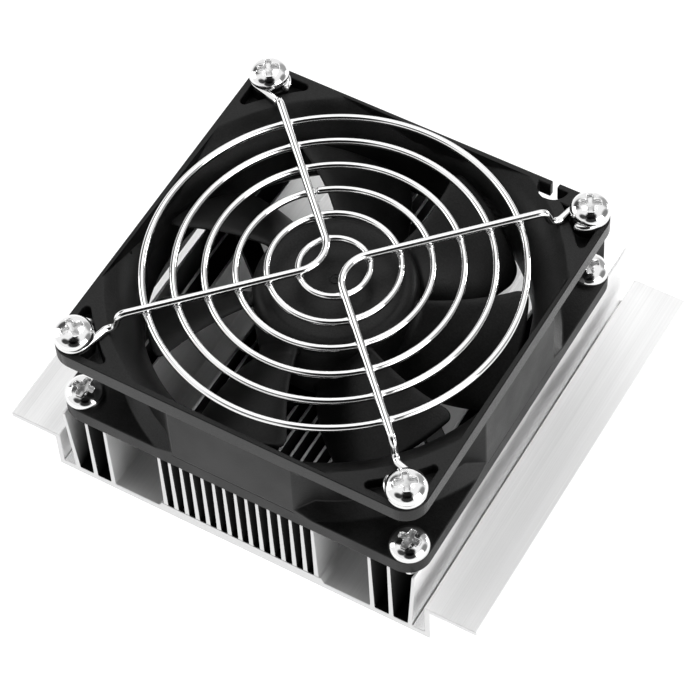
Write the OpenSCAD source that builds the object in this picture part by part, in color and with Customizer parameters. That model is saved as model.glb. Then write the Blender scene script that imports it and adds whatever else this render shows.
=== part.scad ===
/* [Heatsink] */
// Length of the extrusion, along Y
sink_len = 100; // [96:1:160]
// Height from the underside of the base to the fin tips
sink_h = 22.5; // [18:0.5:40]
// Clear width of the channel between the outermost fins and the side walls
side_channel = 3.2; // [2:0.1:5]
// Thickness of the base outside the core
base_t = 1.9; // [1.2:0.1:3]
// Thickness of the base under the core fins
core_t = 3.5; // [3.2:0.1:6]
// Number of fins in the core
core_fins = 15; // [9:2:15]
// Spacing of the core fins
core_pitch = 2.8; // [2.2:0.05:2.9]
// Thickness of a fin at its root
fin_root = 1.15; // [0.8:0.05:1.3]
// Thickness of a fin at its tip
fin_tip = 0.9; // [0.6:0.05:1]
// Spacing of the three fins at each edge
edge_pitch = 4.75; // [4.3:0.05:5]
// How far the screws push the tips of the outermost fins outwards
fin_splay = 1.3; // [0:0.1:1.6]
// Thickness of the side walls
wall_t = 1.3; // [1:0.1:1.6]
// Width over the tips of the two mounting flanges
flange_span = 120; // [112:1:140]
// Thickness of the mounting flanges
flange_t = 1.4; // [1:0.1:2.5]
// Height of the top of the mounting flanges above the underside
flange_top = 12.1; // [8:0.1:16]

/* [Fan frame] */
// Side of the square fan frame
fan_w = 92; // [91:0.5:96]
// Thickness of the fan frame
fan_t = 25; // [24:0.5:32]
// Distance of the screw holes from the sides of the frame
hole_inset = 4.75; // [4.5:0.05:5]
// Thickness of the two corner flanges
ear_t = 4.2; // [3:0.1:5]
// Radius of the frame's outer corners
corner_r = 5.5; // [3:0.5:6]
// Distance of the air passage, at its narrowest, from the sides of the frame
throat_inset = 2.6; // [2:0.1:3]
// How far the inlet flares out at the top face, where the corners let it open
bell_spread = 7.6; // [6:0.1:8]
// Depth of the flared inlet
bell_depth = 9; // [7:0.5:11]
// Radius of both flares' curve
bell_bend = 14; // [9:0.5:30]
// How far the outlet flares out at the bottom face, where the corners let it open
outlet_spread = 7.2; // [5:0.1:8]
// Depth of the flared outlet
outlet_depth = 6.5; // [5:0.1:8]
// Thickness of the frame's wall in the middle of each side
side_wall = 1.1; // [0.8:0.1:1.6]
// Thickness of the barrel's wall at half height
barrel_t = 3.2; // [2.6:0.1:4]
// How much further out the barrel is where it meets the lower flange
barrel_spread = 3.4; // [1.5:0.1:4.4]
// Half width of the flat panel in the middle of each side
panel_half = 15.5; // [8:0.5:20]
// Depth of the corner pockets in the upper flange
pocket_depth = 3; // [1:0.1:3.4]
// Radius of the half-round hole where the leads leave the frame
lead_hole_r = 3.6; // [2:0.1:4]
// Width of the slit that leads into it
lead_slit = 1.6; // [1:0.1:3]
// Number of struts that carry the motor
struts = 4; // [3:1:5]
// Direction of the first strut
strut_turn = -41; // [-60:1:30]
// Distance of a strut's middle line from the fan's axis
strut_offset = 10.8; // [0:0.2:14]
// Width of a strut
strut_w = 4.6; // [3:0.2:7]
// Thickness of the struts and of the motor plate
strut_t = 2.6; // [1.6:0.1:3.4]

/* [Impeller] */
// Number of blades
blades = 7; // [5:1:9]
// Outer radius of the hub
hub_r = 18.5; // [18:0.1:22]
// Depth of the hub's top below the frame's top face
hub_drop = 1; // [0.5:0.1:2]
// Radius of the hub's rounded top edge
hub_round = 3.2; // [1:0.1:4]
// Wall of the hub
hub_wall = 1.6; // [1:0.1:2]
// Thickness of the hub's top plate
hub_plate = 2; // [1.2:0.1:3]
// Clearance between the blade tips and the throat
tip_gap = 1; // [0.6:0.1:2]
// Thickness of a blade
blade_t = 1.5; // [1:0.1:2]
// Angle that a blade covers at the hub
wrap_root = 41; // [30:1:46]
// Angle that a blade covers at its tip
wrap_tip = 35; // [26:1:46]
// Angle by which the leading edge's tip runs ahead of its root
blade_sweep = 12.7; // [0:0.1:20]
// Angle of the first blade's root at rest
blade_turn = 16.5; // [0:0.5:51]

/* [Motor] */
// Diameter of the shaft
shaft_d = 3; // [2:0.5:4]
// Radial clearance of the shaft in its bearing
bearing_play = 0.03; // [0.02:0.01:0.08]
// Outer diameter of the bearing
bearing_d = 8; // [7:0.5:9]
// Length of the bearing
bearing_len = 12; // [8:0.5:12.5]
// Wall of the bearing tube
tube_wall = 1; // [0.8:0.1:1.2]
// Thickness of the rotor's steel yoke
yoke_t = 1; // [0.6:0.1:1.2]
// Thickness of the magnet ring
magnet_t = 1.9; // [1.2:0.1:2.2]
// Height of the magnet ring
magnet_h = 10; // [8:0.5:11]
// Air gap between the stator and the magnet
air_gap = 0.5; // [0.35:0.05:0.8]
// Height of the stator's steel stack
stack_h = 6; // [4:0.5:7]
// Width of a stator pole's neck
neck_w = 3.6; // [2.5:0.1:4]
// Thickness of the winding on a neck
coil_t = 1.3; // [0.8:0.1:1.5]
// Thickness of each insulator
insulator_t = 1.8; // [1.2:0.1:2]
// Thickness of the circuit board
board_t = 1.2; // [0.8:0.1:1.6]

/* [Guard] */
// Radius of the smallest ring
ring_first = 7.9; // [7.8:0.1:10]
// Spacing of the rings
ring_step = 6.83; // [4:0.01:6.9]
// Wire diameter of the rings
ring_wire = 1.6; // [1.2:0.1:2]
// Wire diameter of the spokes
spoke_wire = 1.8; // [1.4:0.1:2.2]
// Height of the rings' centre line above the frame
ring_rise = 3.4; // [2.5:0.1:5]
// How deep the welds sink the spokes into the rings
weld_sink = 0.2; // [0:0.05:0.4]
// Radius of the bend where two spokes meet
spoke_bend = 7.5; // [5:0.1:7.8]
// Radius of the bends in the drop to the eyelets
drop_bend = 1.9; // [1.5:0.1:2.4]
// Slope of the drop to the eyelets
drop_angle = 70; // [50:1:75]
// Angle that an eyelet goes round its screw
eyelet_sweep = 285; // [200:5:290]

/* [Screws] */
// Diameter of the self tapping screws
screw_d = 4.8; // [4:0.1:5]
// Diameter of the screw heads
head_d = 9.2; // [8:0.1:9.5]
// Height of the screw heads
head_h = 3.1; // [2.5:0.1:3.4]
// Height of the heads at their rim
head_rim = 1.2; // [0.8:0.1:1.6]
// Length of the screws under their heads
screw_len = 10; // [8.5:0.5:11]
// Span of the cross recess
recess_span = 5; // [3.5:0.1:5.5]
// Width of the cross recess
recess_w = 1.3; // [0.8:0.05:1.5]
// Depth of the cross recess
recess_depth = 1.7; // [1:0.1:2]

/* [Hidden] */
$fn = 96;

// Clearance of pieces that are pushed or screwed together
fit = 0.02;
// Overlap that makes a cut or a union clean
eps = 0.5;

// Place of the fan: on the fin tips, flush with the front end of the extrusion
fan_y = (fan_w - sink_len) / 2;
hole_half = fan_w / 2 - hole_inset;

// Heatsink profile
thread_bite = 0.15;
edge_fin_x = hole_half - screw_d / 2 + thread_bite - fin_tip / 2;
base_w = 2 * (edge_fin_x + edge_pitch + fin_root / 2 + side_channel + wall_t);
core_half = (core_fins - 1) / 2 * core_pitch + fin_root / 2;
core_ledge = 0.5;
tip_chamfer = 0.15;

// Frame profile
throat_r = fan_w / 2 - throat_inset;
bell_r = throat_r + bell_spread;
outlet_r = throat_r + outlet_spread;
barrel_r = throat_r + barrel_t;
barrel_foot_r = barrel_r + barrel_spread;
// Room for the flares' curves to run on past the frame's faces
flare_room = 3;
bell_chord = [bell_r - throat_r, bell_depth];
bell_middle = [throat_r, fan_t - bell_depth] + bell_chord / 2;
bell_side = sqrt(pow(bell_bend, 2) - pow(norm(bell_chord) / 2, 2)) / norm(bell_chord);
bell_centre = bell_middle + bell_side * [bell_chord[1], -bell_chord[0]];
outlet_wall = 0.8;
outlet_chord = [outlet_r - throat_r, outlet_depth];
outlet_middle = [throat_r + outlet_chord[0] / 2, outlet_depth / 2];
outlet_side = sqrt(pow(bell_bend, 2) - pow(norm(outlet_chord) / 2, 2)) / norm(outlet_chord);
outlet_centre = outlet_middle + outlet_side * [outlet_chord[1], outlet_chord[0]];
barrel_neck_low = 2.9;
barrel_neck_high = 5.8;
barrel_head_spread = 2.1;
barrel_head_r = barrel_r + barrel_head_spread;
panel_root = 2.4;
panel_slope = fan_w / 2 - throat_r + panel_root;
pocket_rim = 1.8;
bell_rim = 2.6;
boss_r = 4.2;
pocket_tip_r = 1;
pocket_inner_r = bell_r + bell_rim;
pocket_tip_y = fan_w / 2 - pocket_rim - pocket_tip_r;
pocket_tip_x = sqrt(pow(pocket_inner_r + pocket_tip_r, 2) - pow(pocket_tip_y, 2));
screw_hole_d = screw_d + 2 * fit;
pass_clearance = 0.3;
pass_hole_d = screw_d + pass_clearance;
lead_x = 30.4;
lead_rim = 1.4;
strut_lift = 0.4;
plate_setback = 0.2;
motor_plate_r = hub_r - plate_setback;
plate_top = strut_lift + strut_t;

// Motor heights, from the frame's bottom face
shaft_r = shaft_d / 2;
bearing_r = bearing_d / 2;
tube_r = bearing_r + tube_wall;
bearing_ledge = 1.1;
cavity_r = bearing_r - bearing_ledge;
board_lift = 1.2;
board_z = plate_top + board_lift;
board_top = board_z + board_t;
bearing_lift = 0.4;
bearing_z = board_z + bearing_lift;
washer_t = 0.5;
washer_w = 1.1;
clip_t = 0.5;
clip_w = 0.9;
end_play = 0.05;
washer_z = bearing_z - end_play - washer_t;
clip_z = washer_z - clip_t;
shaft_stub = 1;
shaft_foot = clip_z - shaft_stub;
cap_top = shaft_foot - end_play;
insulator_lift = 2;
insulator_z = board_top + insulator_lift;
stack_z = insulator_z + insulator_t;
stack_top = stack_z + stack_h;
tube_lip = 1.1;
tube_top = bearing_z + bearing_len + tube_lip;
oil_ring_t = 0.6;
oil_ring_w = 1.2;
boss_gap = 0.2;
boss_z = tube_top + boss_gap;
hub_top = fan_t - hub_drop;
hub_ceiling = hub_top - hub_plate;
hub_gap = 0.4;
hub_foot = board_top + hub_gap;
magnet_z = stack_z + stack_h / 2 - magnet_h / 2;
yoke_recess = 0.6;
yoke_foot = hub_foot + yoke_recess;
groove_depth = 0.35;
groove_r = shaft_r - groove_depth;
clip_mouth = 1.2 * groove_r;
shaft_bite = 0.8;
shaft_seat = hub_ceiling + shaft_bite;
boss_wall = 2;
hub_boss_r = shaft_r + boss_wall;
yoke_hole_r = hub_boss_r + boss_wall;

// Motor radii
poles = 4;
hub_bore_r = hub_r - hub_wall;
yoke_r = hub_bore_r - fit;
magnet_r = yoke_r - yoke_t - fit;
magnet_bore_r = magnet_r - magnet_t;
stator_r = magnet_bore_r - air_gap;
pole_shoe_t = 1.5;
collar_t = 2.3;
collar_r = tube_r + collar_t;
pole_gap = 1.6;
board_margin = 1.6;
board_r = hub_bore_r - board_margin;
pin_d = 0.7;
pin_inset = 0.9;
pin_r = collar_r - pin_inset;
pin_tail = 0.6;
pin_room = 0.25;
board_seat_r = pin_r - pin_d / 2 - pin_room;
coil_root_gap = 0.1;
coil_shoe_gap = 0.4;
sensor_size = [1.6, 3, 1.1];
sensor_inset = 1.2;
chip_size = [3.9, 5, 1.25];
chip_inset = 4.2;
capacitor_size = [1.6, 3.2, 1.2];
capacitor_inset = 3;

// Impeller
tip_r = throat_r - tip_gap;
blade_root_r = hub_r - hub_wall / 2;
lead_root_drop = 2.6;
lead_tip_drop = 4;
trail_root_rise = 0.4;
trail_tip_rise = 1.6;
lead_root_z = hub_top - lead_root_drop;
lead_tip_z = hub_top - lead_tip_drop;
trail_root_z = hub_foot + trail_root_rise;
trail_tip_z = hub_foot + trail_tip_rise;
gate_r = 1.1;
gate_depth = 0.4;
blade_camber = 0.3;
blade_edge = 0.45;
blade_rows = 6;
blade_steps = 8;

// Number of guard rings, one node each
rings = 6;
// Wires are built in pieces that end just short of each other inside a ball
wire_short = 0.05;
joint_swell = 0.02;

// Guard heights above the frame's top face
spoke_rise = ring_rise + (ring_wire + spoke_wire) / 2 - weld_sink;
eyelet_play = 0.25;
eyelet_r = screw_d / 2 + eyelet_play + spoke_wire / 2;
drop = spoke_rise - spoke_wire / 2;
drop_run = (drop - 2 * drop_bend * (1 - cos(drop_angle))) / sin(drop_angle);
drop_reach = 2 * drop_bend * sin(drop_angle) + drop_run * cos(drop_angle);
corner_reach = hole_half * sqrt(2);
lead_in = 7.6;
drop_end = corner_reach - lead_in;
drop_start = drop_end - drop_reach;
veer_bend = 2;
veer = asin((eyelet_r + veer_bend) / norm([lead_in, veer_bend])) - atan2(veer_bend, lead_in);
veer_run = lead_in * cos(veer) - veer_bend * sin(veer);

// Screws
head_dome = (pow(head_d / 2, 2) + pow(head_h - head_rim, 2)) / (2 * (head_h - head_rim));
screw_point = 1.6;
point_d = screw_d - 1.6;
upper_turns = [46, 35, 30, 35];
lower_turns = [3, 0, 40, 20];
corners = [[-1, -1], [1, -1], [1, 1], [-1, 1]];

function ring_radius(i) = ring_first + (i - 1) * ring_step;

module at_fan(z = 0) {
    translate([0, fan_y, sink_h + z])
        children();
}

module at_corners() {
    for (i = [0:3])
        translate([corners[i][0] * hole_half, corners[i][1] * hole_half, 0]) {
            $corner = i;
            children();
        }
}

module tube(r_out, r_in, h) {
    difference() {
        cylinder(r = r_out, h = h);
        translate([0, 0, -eps])
            cylinder(r = r_in, h = h + 2 * eps);
    }
}

module rounded_square(side, r) {
    square([side, side - 2 * r], center = true);
    square([side - 2 * r, side], center = true);
    for (c = corners)
        translate([c[0] * (side / 2 - r), c[1] * (side / 2 - r)])
            circle(r = r);
}

// One fin, standing on the base at x with its tip pushed sideways by lean
module fin(x, lean = 0) {
    tip = x + lean;
    polygon([
        [x - fin_root / 2, base_t / 2],
        [x + fin_root / 2, base_t / 2],
        [tip + fin_tip / 2, sink_h - tip_chamfer],
        [tip + fin_tip / 2 - tip_chamfer, sink_h],
        [tip - fin_tip / 2 + tip_chamfer, sink_h],
        [tip - fin_tip / 2, sink_h - tip_chamfer]
    ]);
}

module heatsink_half() {
    for (k = [0:2])
        fin(edge_fin_x + (1 - k) * edge_pitch, k == 0 ? fin_splay : 0);
    translate([base_w / 2 - wall_t, 0])
        square([wall_t, flange_top]);
    translate([base_w / 2 - wall_t, flange_top - flange_t])
        square([flange_span / 2 - base_w / 2 + wall_t, flange_t]);
}

module heatsink_profile() {
    translate([-base_w / 2, 0])
        square([base_w, base_t]);
    polygon([
        [-core_half - core_ledge - (core_t - base_t) / 2, 0],
        [core_half + core_ledge + (core_t - base_t) / 2, 0],
        [core_half + core_ledge + (core_t - base_t) / 2, base_t],
        [core_half + core_ledge, core_t],
        [-core_half - core_ledge, core_t],
        [-core_half - core_ledge - (core_t - base_t) / 2, base_t]
    ]);
    for (i = [0:core_fins - 1])
        fin((i - (core_fins - 1) / 2) * core_pitch);
    heatsink_half();
    mirror([1, 0])
        heatsink_half();
}

// Extruded fins on a base, with the screws' threads cut into the edge fins
module heatsink() {
    color("gainsboro")
        difference() {
            rotate([90, 0, 0])
                linear_extrude(height = sink_len, center = true)
                    heatsink_profile();
            at_fan()
                at_corners()
                    translate([0, 0, ear_t - screw_len - fit])
                        cylinder(d = screw_d + 2 * fit, h = screw_len + eps);
        }
}

// Solid of revolution that the air passes through, from the outlet to the rounded inlet
module air_passage() {
    translate([0, 0, -eps])
        cylinder(r = throat_r, h = fan_t + 2 * eps);
    intersection() {
        translate([0, 0, fan_t - bell_depth - eps])
            linear_extrude(height = bell_depth + 2 * eps)
                square(fan_w - 2 * side_wall, center = true);
        rotate_extrude()
            difference() {
                translate([0, fan_t - bell_depth])
                    square([bell_r + flare_room, bell_depth + eps]);
                translate(bell_centre)
                    circle(r = bell_bend, $fn = 200);
            }
    }
    intersection() {
        translate([0, 0, -eps])
            linear_extrude(height = outlet_depth + 2 * eps)
                square(fan_w - 2 * outlet_wall, center = true);
        rotate_extrude()
            difference() {
                translate([0, -eps])
                    square([outlet_r + flare_room, outlet_depth + eps]);
                translate(outlet_centre)
                    circle(r = bell_bend, $fn = 200);
            }
    }
}

module frame_body() {
    linear_extrude(height = ear_t)
        rounded_square(fan_w, corner_r);
    translate([0, 0, fan_t - ear_t])
        linear_extrude(height = ear_t)
            rounded_square(fan_w, corner_r);
    intersection() {
        linear_extrude(height = fan_t)
            rounded_square(fan_w, corner_r);
        rotate_extrude()
            polygon([
                [0, 0],
                [barrel_foot_r, 0],
                [barrel_foot_r, ear_t],
                [barrel_r, ear_t + barrel_neck_low],
                [barrel_r, fan_t - ear_t - barrel_neck_high],
                [barrel_head_r, fan_t - ear_t],
                [barrel_head_r, fan_t],
                [0, fan_t]
            ]);
    }
    for (a = [0:90:270])
        rotate([0, 0, a])
            translate([0, 0, ear_t / 2])
                linear_extrude(height = fan_t - ear_t)
                    polygon([
                        [fan_w / 2, -panel_half],
                        [fan_w / 2, panel_half],
                        [fan_w / 2 - panel_slope, panel_half + panel_slope],
                        [fan_w / 2 - panel_slope, -panel_half - panel_slope]
                    ]);
}

// Half of a corner's pocket, beside the boss and along the back edge, with a rounded tip
module pocket_shape() {
    tip = [pocket_tip_x, pocket_tip_y];
    difference() {
        translate(tip - [pocket_tip_r, pocket_tip_x])
            square([hole_half - tip[0] + pocket_tip_r, pocket_tip_x + pocket_tip_r]);
        circle(r = pocket_inner_r);
        translate([hole_half, hole_half])
            circle(r = boss_r);
        polygon([tip, [tip[0], fan_w], [0, fan_w], [0, 0]]);
    }
    translate(tip)
        circle(r = pocket_tip_r);
}

// Pockets of the upper flange: all but the one beside the lead hole
module corner_pockets() {
    translate([0, 0, fan_t - pocket_depth])
        linear_extrude(height = pocket_depth + eps) {
            for (a = [90, 180, 270])
                rotate([0, 0, a])
                    pocket_shape();
            for (a = [0:90:270])
                rotate([0, 0, a])
                    mirror([1, -1])
                        pocket_shape();
        }
}

// Half-round hole behind the back edge of the upper flange, with a slit to push the leads in
module lead_hole() {
    translate([lead_x, fan_w / 2, fan_t - ear_t - eps])
        linear_extrude(height = ear_t + 2 * eps) {
            difference() {
                translate([0, -lead_rim])
                    circle(r = lead_hole_r);
                translate([-2 * lead_hole_r, -lead_rim])
                    square(4 * lead_hole_r);
            }
            translate([-lead_slit / 2, -lead_rim - lead_hole_r / 2])
                square([lead_slit, lead_rim + lead_hole_r]);
        }
}

module motor_carrier() {
    translate([0, 0, strut_lift])
        cylinder(r = motor_plate_r, h = strut_t);
    translate([0, 0, strut_lift])
        linear_extrude(height = strut_t)
            intersection() {
                square(fan_w - outlet_wall, center = true);
                for (k = [0:struts - 1])
                    rotate([0, 0, strut_turn + k * 360 / struts])
                        translate([0, strut_offset - strut_w / 2])
                            square([fan_w, strut_w]);
            }
    translate([0, 0, strut_lift])
        cylinder(r = board_seat_r, h = board_z - strut_lift);
    translate([0, 0, strut_lift])
        cylinder(r = tube_r, h = tube_top - strut_lift);
}

// Moulded housing: two corner flanges, the barrel between them, the struts and the bearing tube
module fan_frame() {
    color([0.13, 0.13, 0.14])
        at_fan()
            difference() {
                union() {
                    difference() {
                        frame_body();
                        air_passage();
                        corner_pockets();
                        lead_hole();
                    }
                    motor_carrier();
                }
                at_corners()
                    translate([0, 0, -eps])
                        cylinder(d = pass_hole_d, h = ear_t + 2 * eps);
                at_corners()
                    translate([0, 0, fan_t - ear_t - eps])
                        cylinder(d = screw_hole_d, h = ear_t + 2 * eps);
                translate([0, 0, strut_lift - eps])
                    cylinder(r = cavity_r, h = bearing_z - strut_lift + 2 * eps);
                translate([0, 0, bearing_z])
                    cylinder(r = bearing_r, h = tube_top - bearing_z + eps);
            }
}

// Middle surface of a blade: s runs from root to tip, u from the leading to the trailing edge
function blade_angle(s, u) = blade_sweep * s - u * (wrap_root + (wrap_tip - wrap_root) * s);
function blade_lead_z(s) = lead_root_z + (lead_tip_z - lead_root_z) * s;
function blade_trail_z(s) = trail_root_z + (trail_tip_z - trail_root_z) * s;
function blade_fall(u) = u * (1 - blade_camber) + blade_camber * u * u;
function blade_z(s, u) = blade_lead_z(s) - (blade_lead_z(s) - blade_trail_z(s)) * blade_fall(u);
function blade_r(s) = blade_root_r + (tip_r - blade_root_r) * s;
function blade_mid(s, u) =
    let (a = blade_angle(s, u), r = blade_r(s))
    [r * cos(a), r * sin(a), blade_z(s, u)];
function blade_normal(s, u) =
    let (
        step = 0.01,
        along = blade_mid(s, u + step) - blade_mid(s, u - step),
        out = blade_mid(s + step, u) - blade_mid(s - step, u),
        n = cross(along, out)
    )
    n / norm(n);
function blade_half(u) = blade_t / 2 * (blade_edge + (1 - blade_edge) * sqrt(max(0, sin(180 * u))));
function blade_point(i, j, side) =
    let (s = i / blade_rows, u = j / blade_steps)
    blade_mid(s, u) + side * blade_half(u) * blade_normal(s, u);
function blade_index(i, j, side) = side * (blade_rows + 1) * (blade_steps + 1) + i * (blade_steps + 1) + j;
function two_faces(a, b, c, d) = [[a, b, c], [a, c, d]];

module blade() {
    points = [
        for (side = [-1, 1], i = [0:blade_rows], j = [0:blade_steps])
            blade_point(i, j, side)
    ];
    skin = [
        for (side = [0, 1], i = [0:blade_rows - 1], j = [0:blade_steps - 1])
            let (
                a = blade_index(i, j, side),
                b = blade_index(i, j + 1, side),
                c = blade_index(i + 1, j + 1, side),
                d = blade_index(i + 1, j, side)
            )
            each side == 0 ? two_faces(a, b, c, d) : two_faces(a, d, c, b)
    ];
    ends = [
        for (i = [0, blade_rows], j = [0:blade_steps - 1])
            let (
                a = blade_index(i, j, 0),
                b = blade_index(i, j + 1, 0),
                c = blade_index(i, j + 1, 1),
                d = blade_index(i, j, 1)
            )
            each i == 0 ? two_faces(a, d, c, b) : two_faces(a, b, c, d)
    ];
    edges = [
        for (j = [0, blade_steps], i = [0:blade_rows - 1])
            let (
                a = blade_index(i, j, 0),
                b = blade_index(i + 1, j, 0),
                c = blade_index(i + 1, j, 1),
                d = blade_index(i, j, 1)
            )
            each j == 0 ? two_faces(a, b, c, d) : two_faces(a, d, c, b)
    ];
    polyhedron(points = points, faces = concat(skin, ends, edges));
}

module hub() {
    difference() {
        rotate_extrude() {
            translate([0, hub_foot])
                square([hub_r, hub_top - hub_foot - hub_round]);
            translate([0, hub_foot])
                square([hub_r - hub_round, hub_top - hub_foot]);
            translate([hub_r - hub_round, hub_top - hub_round])
                circle(r = hub_round);
        }
        translate([0, 0, hub_foot - eps])
            cylinder(r = hub_bore_r, h = hub_ceiling - hub_foot + eps);
        translate([0, 0, hub_top - gate_depth])
            cylinder(r = gate_r, h = gate_depth + eps);
    }
    translate([0, 0, boss_z])
        cylinder(r = hub_boss_r, h = hub_ceiling - boss_z + eps);
}

// Moulded hub and blades, open below for the rotor
module impeller() {
    color([0.15, 0.15, 0.16])
        at_fan()
            difference() {
                union() {
                    hub();
                    difference() {
                        for (k = [0:blades - 1])
                            rotate([0, 0, blade_turn + k * 360 / blades])
                                blade();
                        translate([0, 0, hub_foot - eps])
                            cylinder(r = hub_bore_r + hub_wall / 4, h = hub_top - hub_foot);
                    }
                }
                translate([0, 0, boss_z - eps])
                    cylinder(r = shaft_r + fit, h = shaft_seat - boss_z + eps);
            }
}

// Pressed steel cup that carries the magnet
module rotor_yoke() {
    color("darkgray")
        at_fan(yoke_foot)
            difference() {
                cylinder(r = yoke_r, h = hub_ceiling - yoke_foot);
                translate([0, 0, -eps])
                    cylinder(r = yoke_r - yoke_t, h = hub_ceiling - yoke_foot - yoke_t + eps);
                cylinder(r = yoke_hole_r, h = hub_ceiling - yoke_foot + eps);
            }
}

// Bonded magnet inside the yoke
module magnet_ring() {
    color([0.25, 0.22, 0.2])
        at_fan(magnet_z)
            tube(magnet_r, magnet_bore_r, magnet_h);
}

// Turned shaft, with a groove for the clip near its foot
module shaft() {
    color("silver")
        at_fan()
            difference() {
                translate([0, 0, shaft_foot])
                    cylinder(r = shaft_r, h = shaft_seat - shaft_foot);
                translate([0, 0, clip_z])
                    tube(shaft_r + eps, groove_r, clip_t);
            }
}

// Split washer that keeps the shaft in its bearing
module retaining_clip() {
    color([0.85, 0.82, 0.7])
        at_fan(clip_z)
            difference() {
                tube(shaft_r + clip_w, groove_r + fit, clip_t);
                translate([0, -clip_mouth / 2, -eps])
                    cube([shaft_r + clip_w + eps, clip_mouth, clip_t + 2 * eps]);
            }
}

// Plain washer between the clip and the bearing
module thrust_washer() {
    color("wheat")
        at_fan(washer_z)
            tube(shaft_r + washer_w, shaft_r + fit, washer_t);
}

// Washer under the hub's boss that throws oil back
module oil_ring() {
    color("ivory")
        at_fan(boss_z - oil_ring_t)
            tube(shaft_r + oil_ring_w, shaft_r + fit, oil_ring_t);
}

// Sintered bronze bearing
module sleeve_bearing() {
    color([0.72, 0.53, 0.3])
        at_fan(bearing_z)
            tube(bearing_r - fit, shaft_r + bearing_play, bearing_len);
}

// Plug that closes the bearing tube and carries the end of the shaft
module bearing_cap() {
    color([0.1, 0.1, 0.1])
        at_fan(strut_lift)
            cylinder(r = cavity_r - fit, h = cap_top - strut_lift);
}

module pole_shape() {
    intersection() {
        difference() {
            circle(r = stator_r);
            circle(r = stator_r - pole_shoe_t);
        }
        square([2 * stator_r, 2 * (stator_r * sin(180 / poles) - pole_gap)], center = true);
    }
    square([2 * stator_r - pole_shoe_t, neck_w], center = true);
}

module stator_shape() {
    difference() {
        union() {
            circle(r = collar_r);
            for (k = [0:poles / 2 - 1])
                rotate([0, 0, k * 360 / poles])
                    pole_shape();
        }
        circle(r = tube_r + fit);
    }
}

// Stack of steel sheets with four poles
module stator_core() {
    color("slategray")
        at_fan(stack_z)
            linear_extrude(height = stack_h)
                stator_shape();
}

module insulator_shape() {
    difference() {
        union() {
            circle(r = collar_r);
            for (k = [0:poles / 2 - 1])
                rotate([0, 0, k * 360 / poles])
                    square([2 * stator_r - 2 * pole_shoe_t, neck_w], center = true);
        }
        circle(r = tube_r + fit);
    }
}

module at_pins() {
    for (k = [0:poles - 1])
        rotate([0, 0, (k + 0.5) * 360 / poles])
            translate([pin_r, 0, 0])
                children();
}

// Moulded insulator below the stack, which holds the terminal pins
module lower_insulator() {
    color("white")
        at_fan(insulator_z)
            difference() {
                linear_extrude(height = insulator_t)
                    insulator_shape();
                at_pins()
                    translate([0, 0, -eps])
                        cylinder(d = pin_d + 2 * fit, h = insulator_t + 2 * eps);
            }
}

// Moulded insulator above the stack
module upper_insulator() {
    color("white")
        at_fan(stack_top)
            linear_extrude(height = insulator_t)
                insulator_shape();
}

// Four windings, one round each neck and its insulators
module coil_windings() {
    core_h = stack_h + 2 * insulator_t;
    root_r = collar_r + coil_root_gap;
    shoe_r = stator_r - pole_shoe_t - coil_shoe_gap;
    color("peru")
        at_fan(insulator_z - coil_t / 2)
            for (k = [0:poles - 1])
                rotate([0, 0, k * 360 / poles])
                    difference() {
                        translate([root_r, -neck_w / 2 - coil_t, 0])
                            cube([shoe_r - root_r, neck_w + 2 * coil_t, core_h + coil_t]);
                        translate([collar_r - eps, -neck_w / 2 - fit, coil_t / 2 - fit])
                            cube([shoe_r, neck_w + 2 * fit, core_h + 2 * fit]);
                    }
}

// Pins that join the windings to the board
module terminal_pins() {
    color("goldenrod")
        at_fan(board_z - pin_tail)
            at_pins()
                cylinder(d = pin_d, h = stack_z - board_z + pin_tail - fit);
}

// Round board that seats on the collar of the bearing tube
module circuit_board() {
    color("darkgreen")
        at_fan(board_z)
            difference() {
                tube(board_r, tube_r + fit, board_t);
                at_pins()
                    translate([0, 0, -eps])
                        cylinder(d = pin_d + 4 * fit, h = board_t + 2 * eps);
            }
}

module board_part(angle, r, size) {
    at_fan(board_top)
        rotate([0, 0, angle])
            translate([r, 0, size[2] / 2])
                cube(size, center = true);
}

// Sensor that reads the magnet's poles
module hall_sensor() {
    color("black")
        board_part(0, magnet_bore_r - sensor_inset, sensor_size);
}

// Chip that switches the windings
module driver_chip() {
    color("black")
        board_part(90, board_r - chip_inset, chip_size);
}

// Ceramic capacitor across the supply
module filter_capacitor() {
    color("tan")
        board_part(180, board_r - capacitor_inset, capacitor_size);
}

// Straight wire along X, a little short at both ends
module wire_run(len, d) {
    translate([wire_short, 0, 0])
        rotate([0, 90, 0])
            cylinder(d = d, h = len - 2 * wire_short);
}

// Arc of wire round the origin from the X axis, a little short at both ends
module wire_arc(r, angle, d) {
    short = angle < 360 ? wire_short / r * 180 / PI : 0;
    rotate([0, 0, short])
        rotate_extrude(angle = angle - 2 * short)
            translate([r, 0])
                circle(d = d);
}

// Ball that joins two pieces of wire
module wire_ball(d) {
    sphere(d = d + 2 * joint_swell);
}

// Ball between two pieces that run along X, with its poles inside them
module wire_joint(d) {
    rotate([0, 90, 0])
        wire_ball(d);
}

module guard_ring(i) {
    color("whitesmoke")
        at_fan(fan_t + ring_rise)
            wire_arc(ring_radius(i), 360, ring_wire);
}

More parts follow.
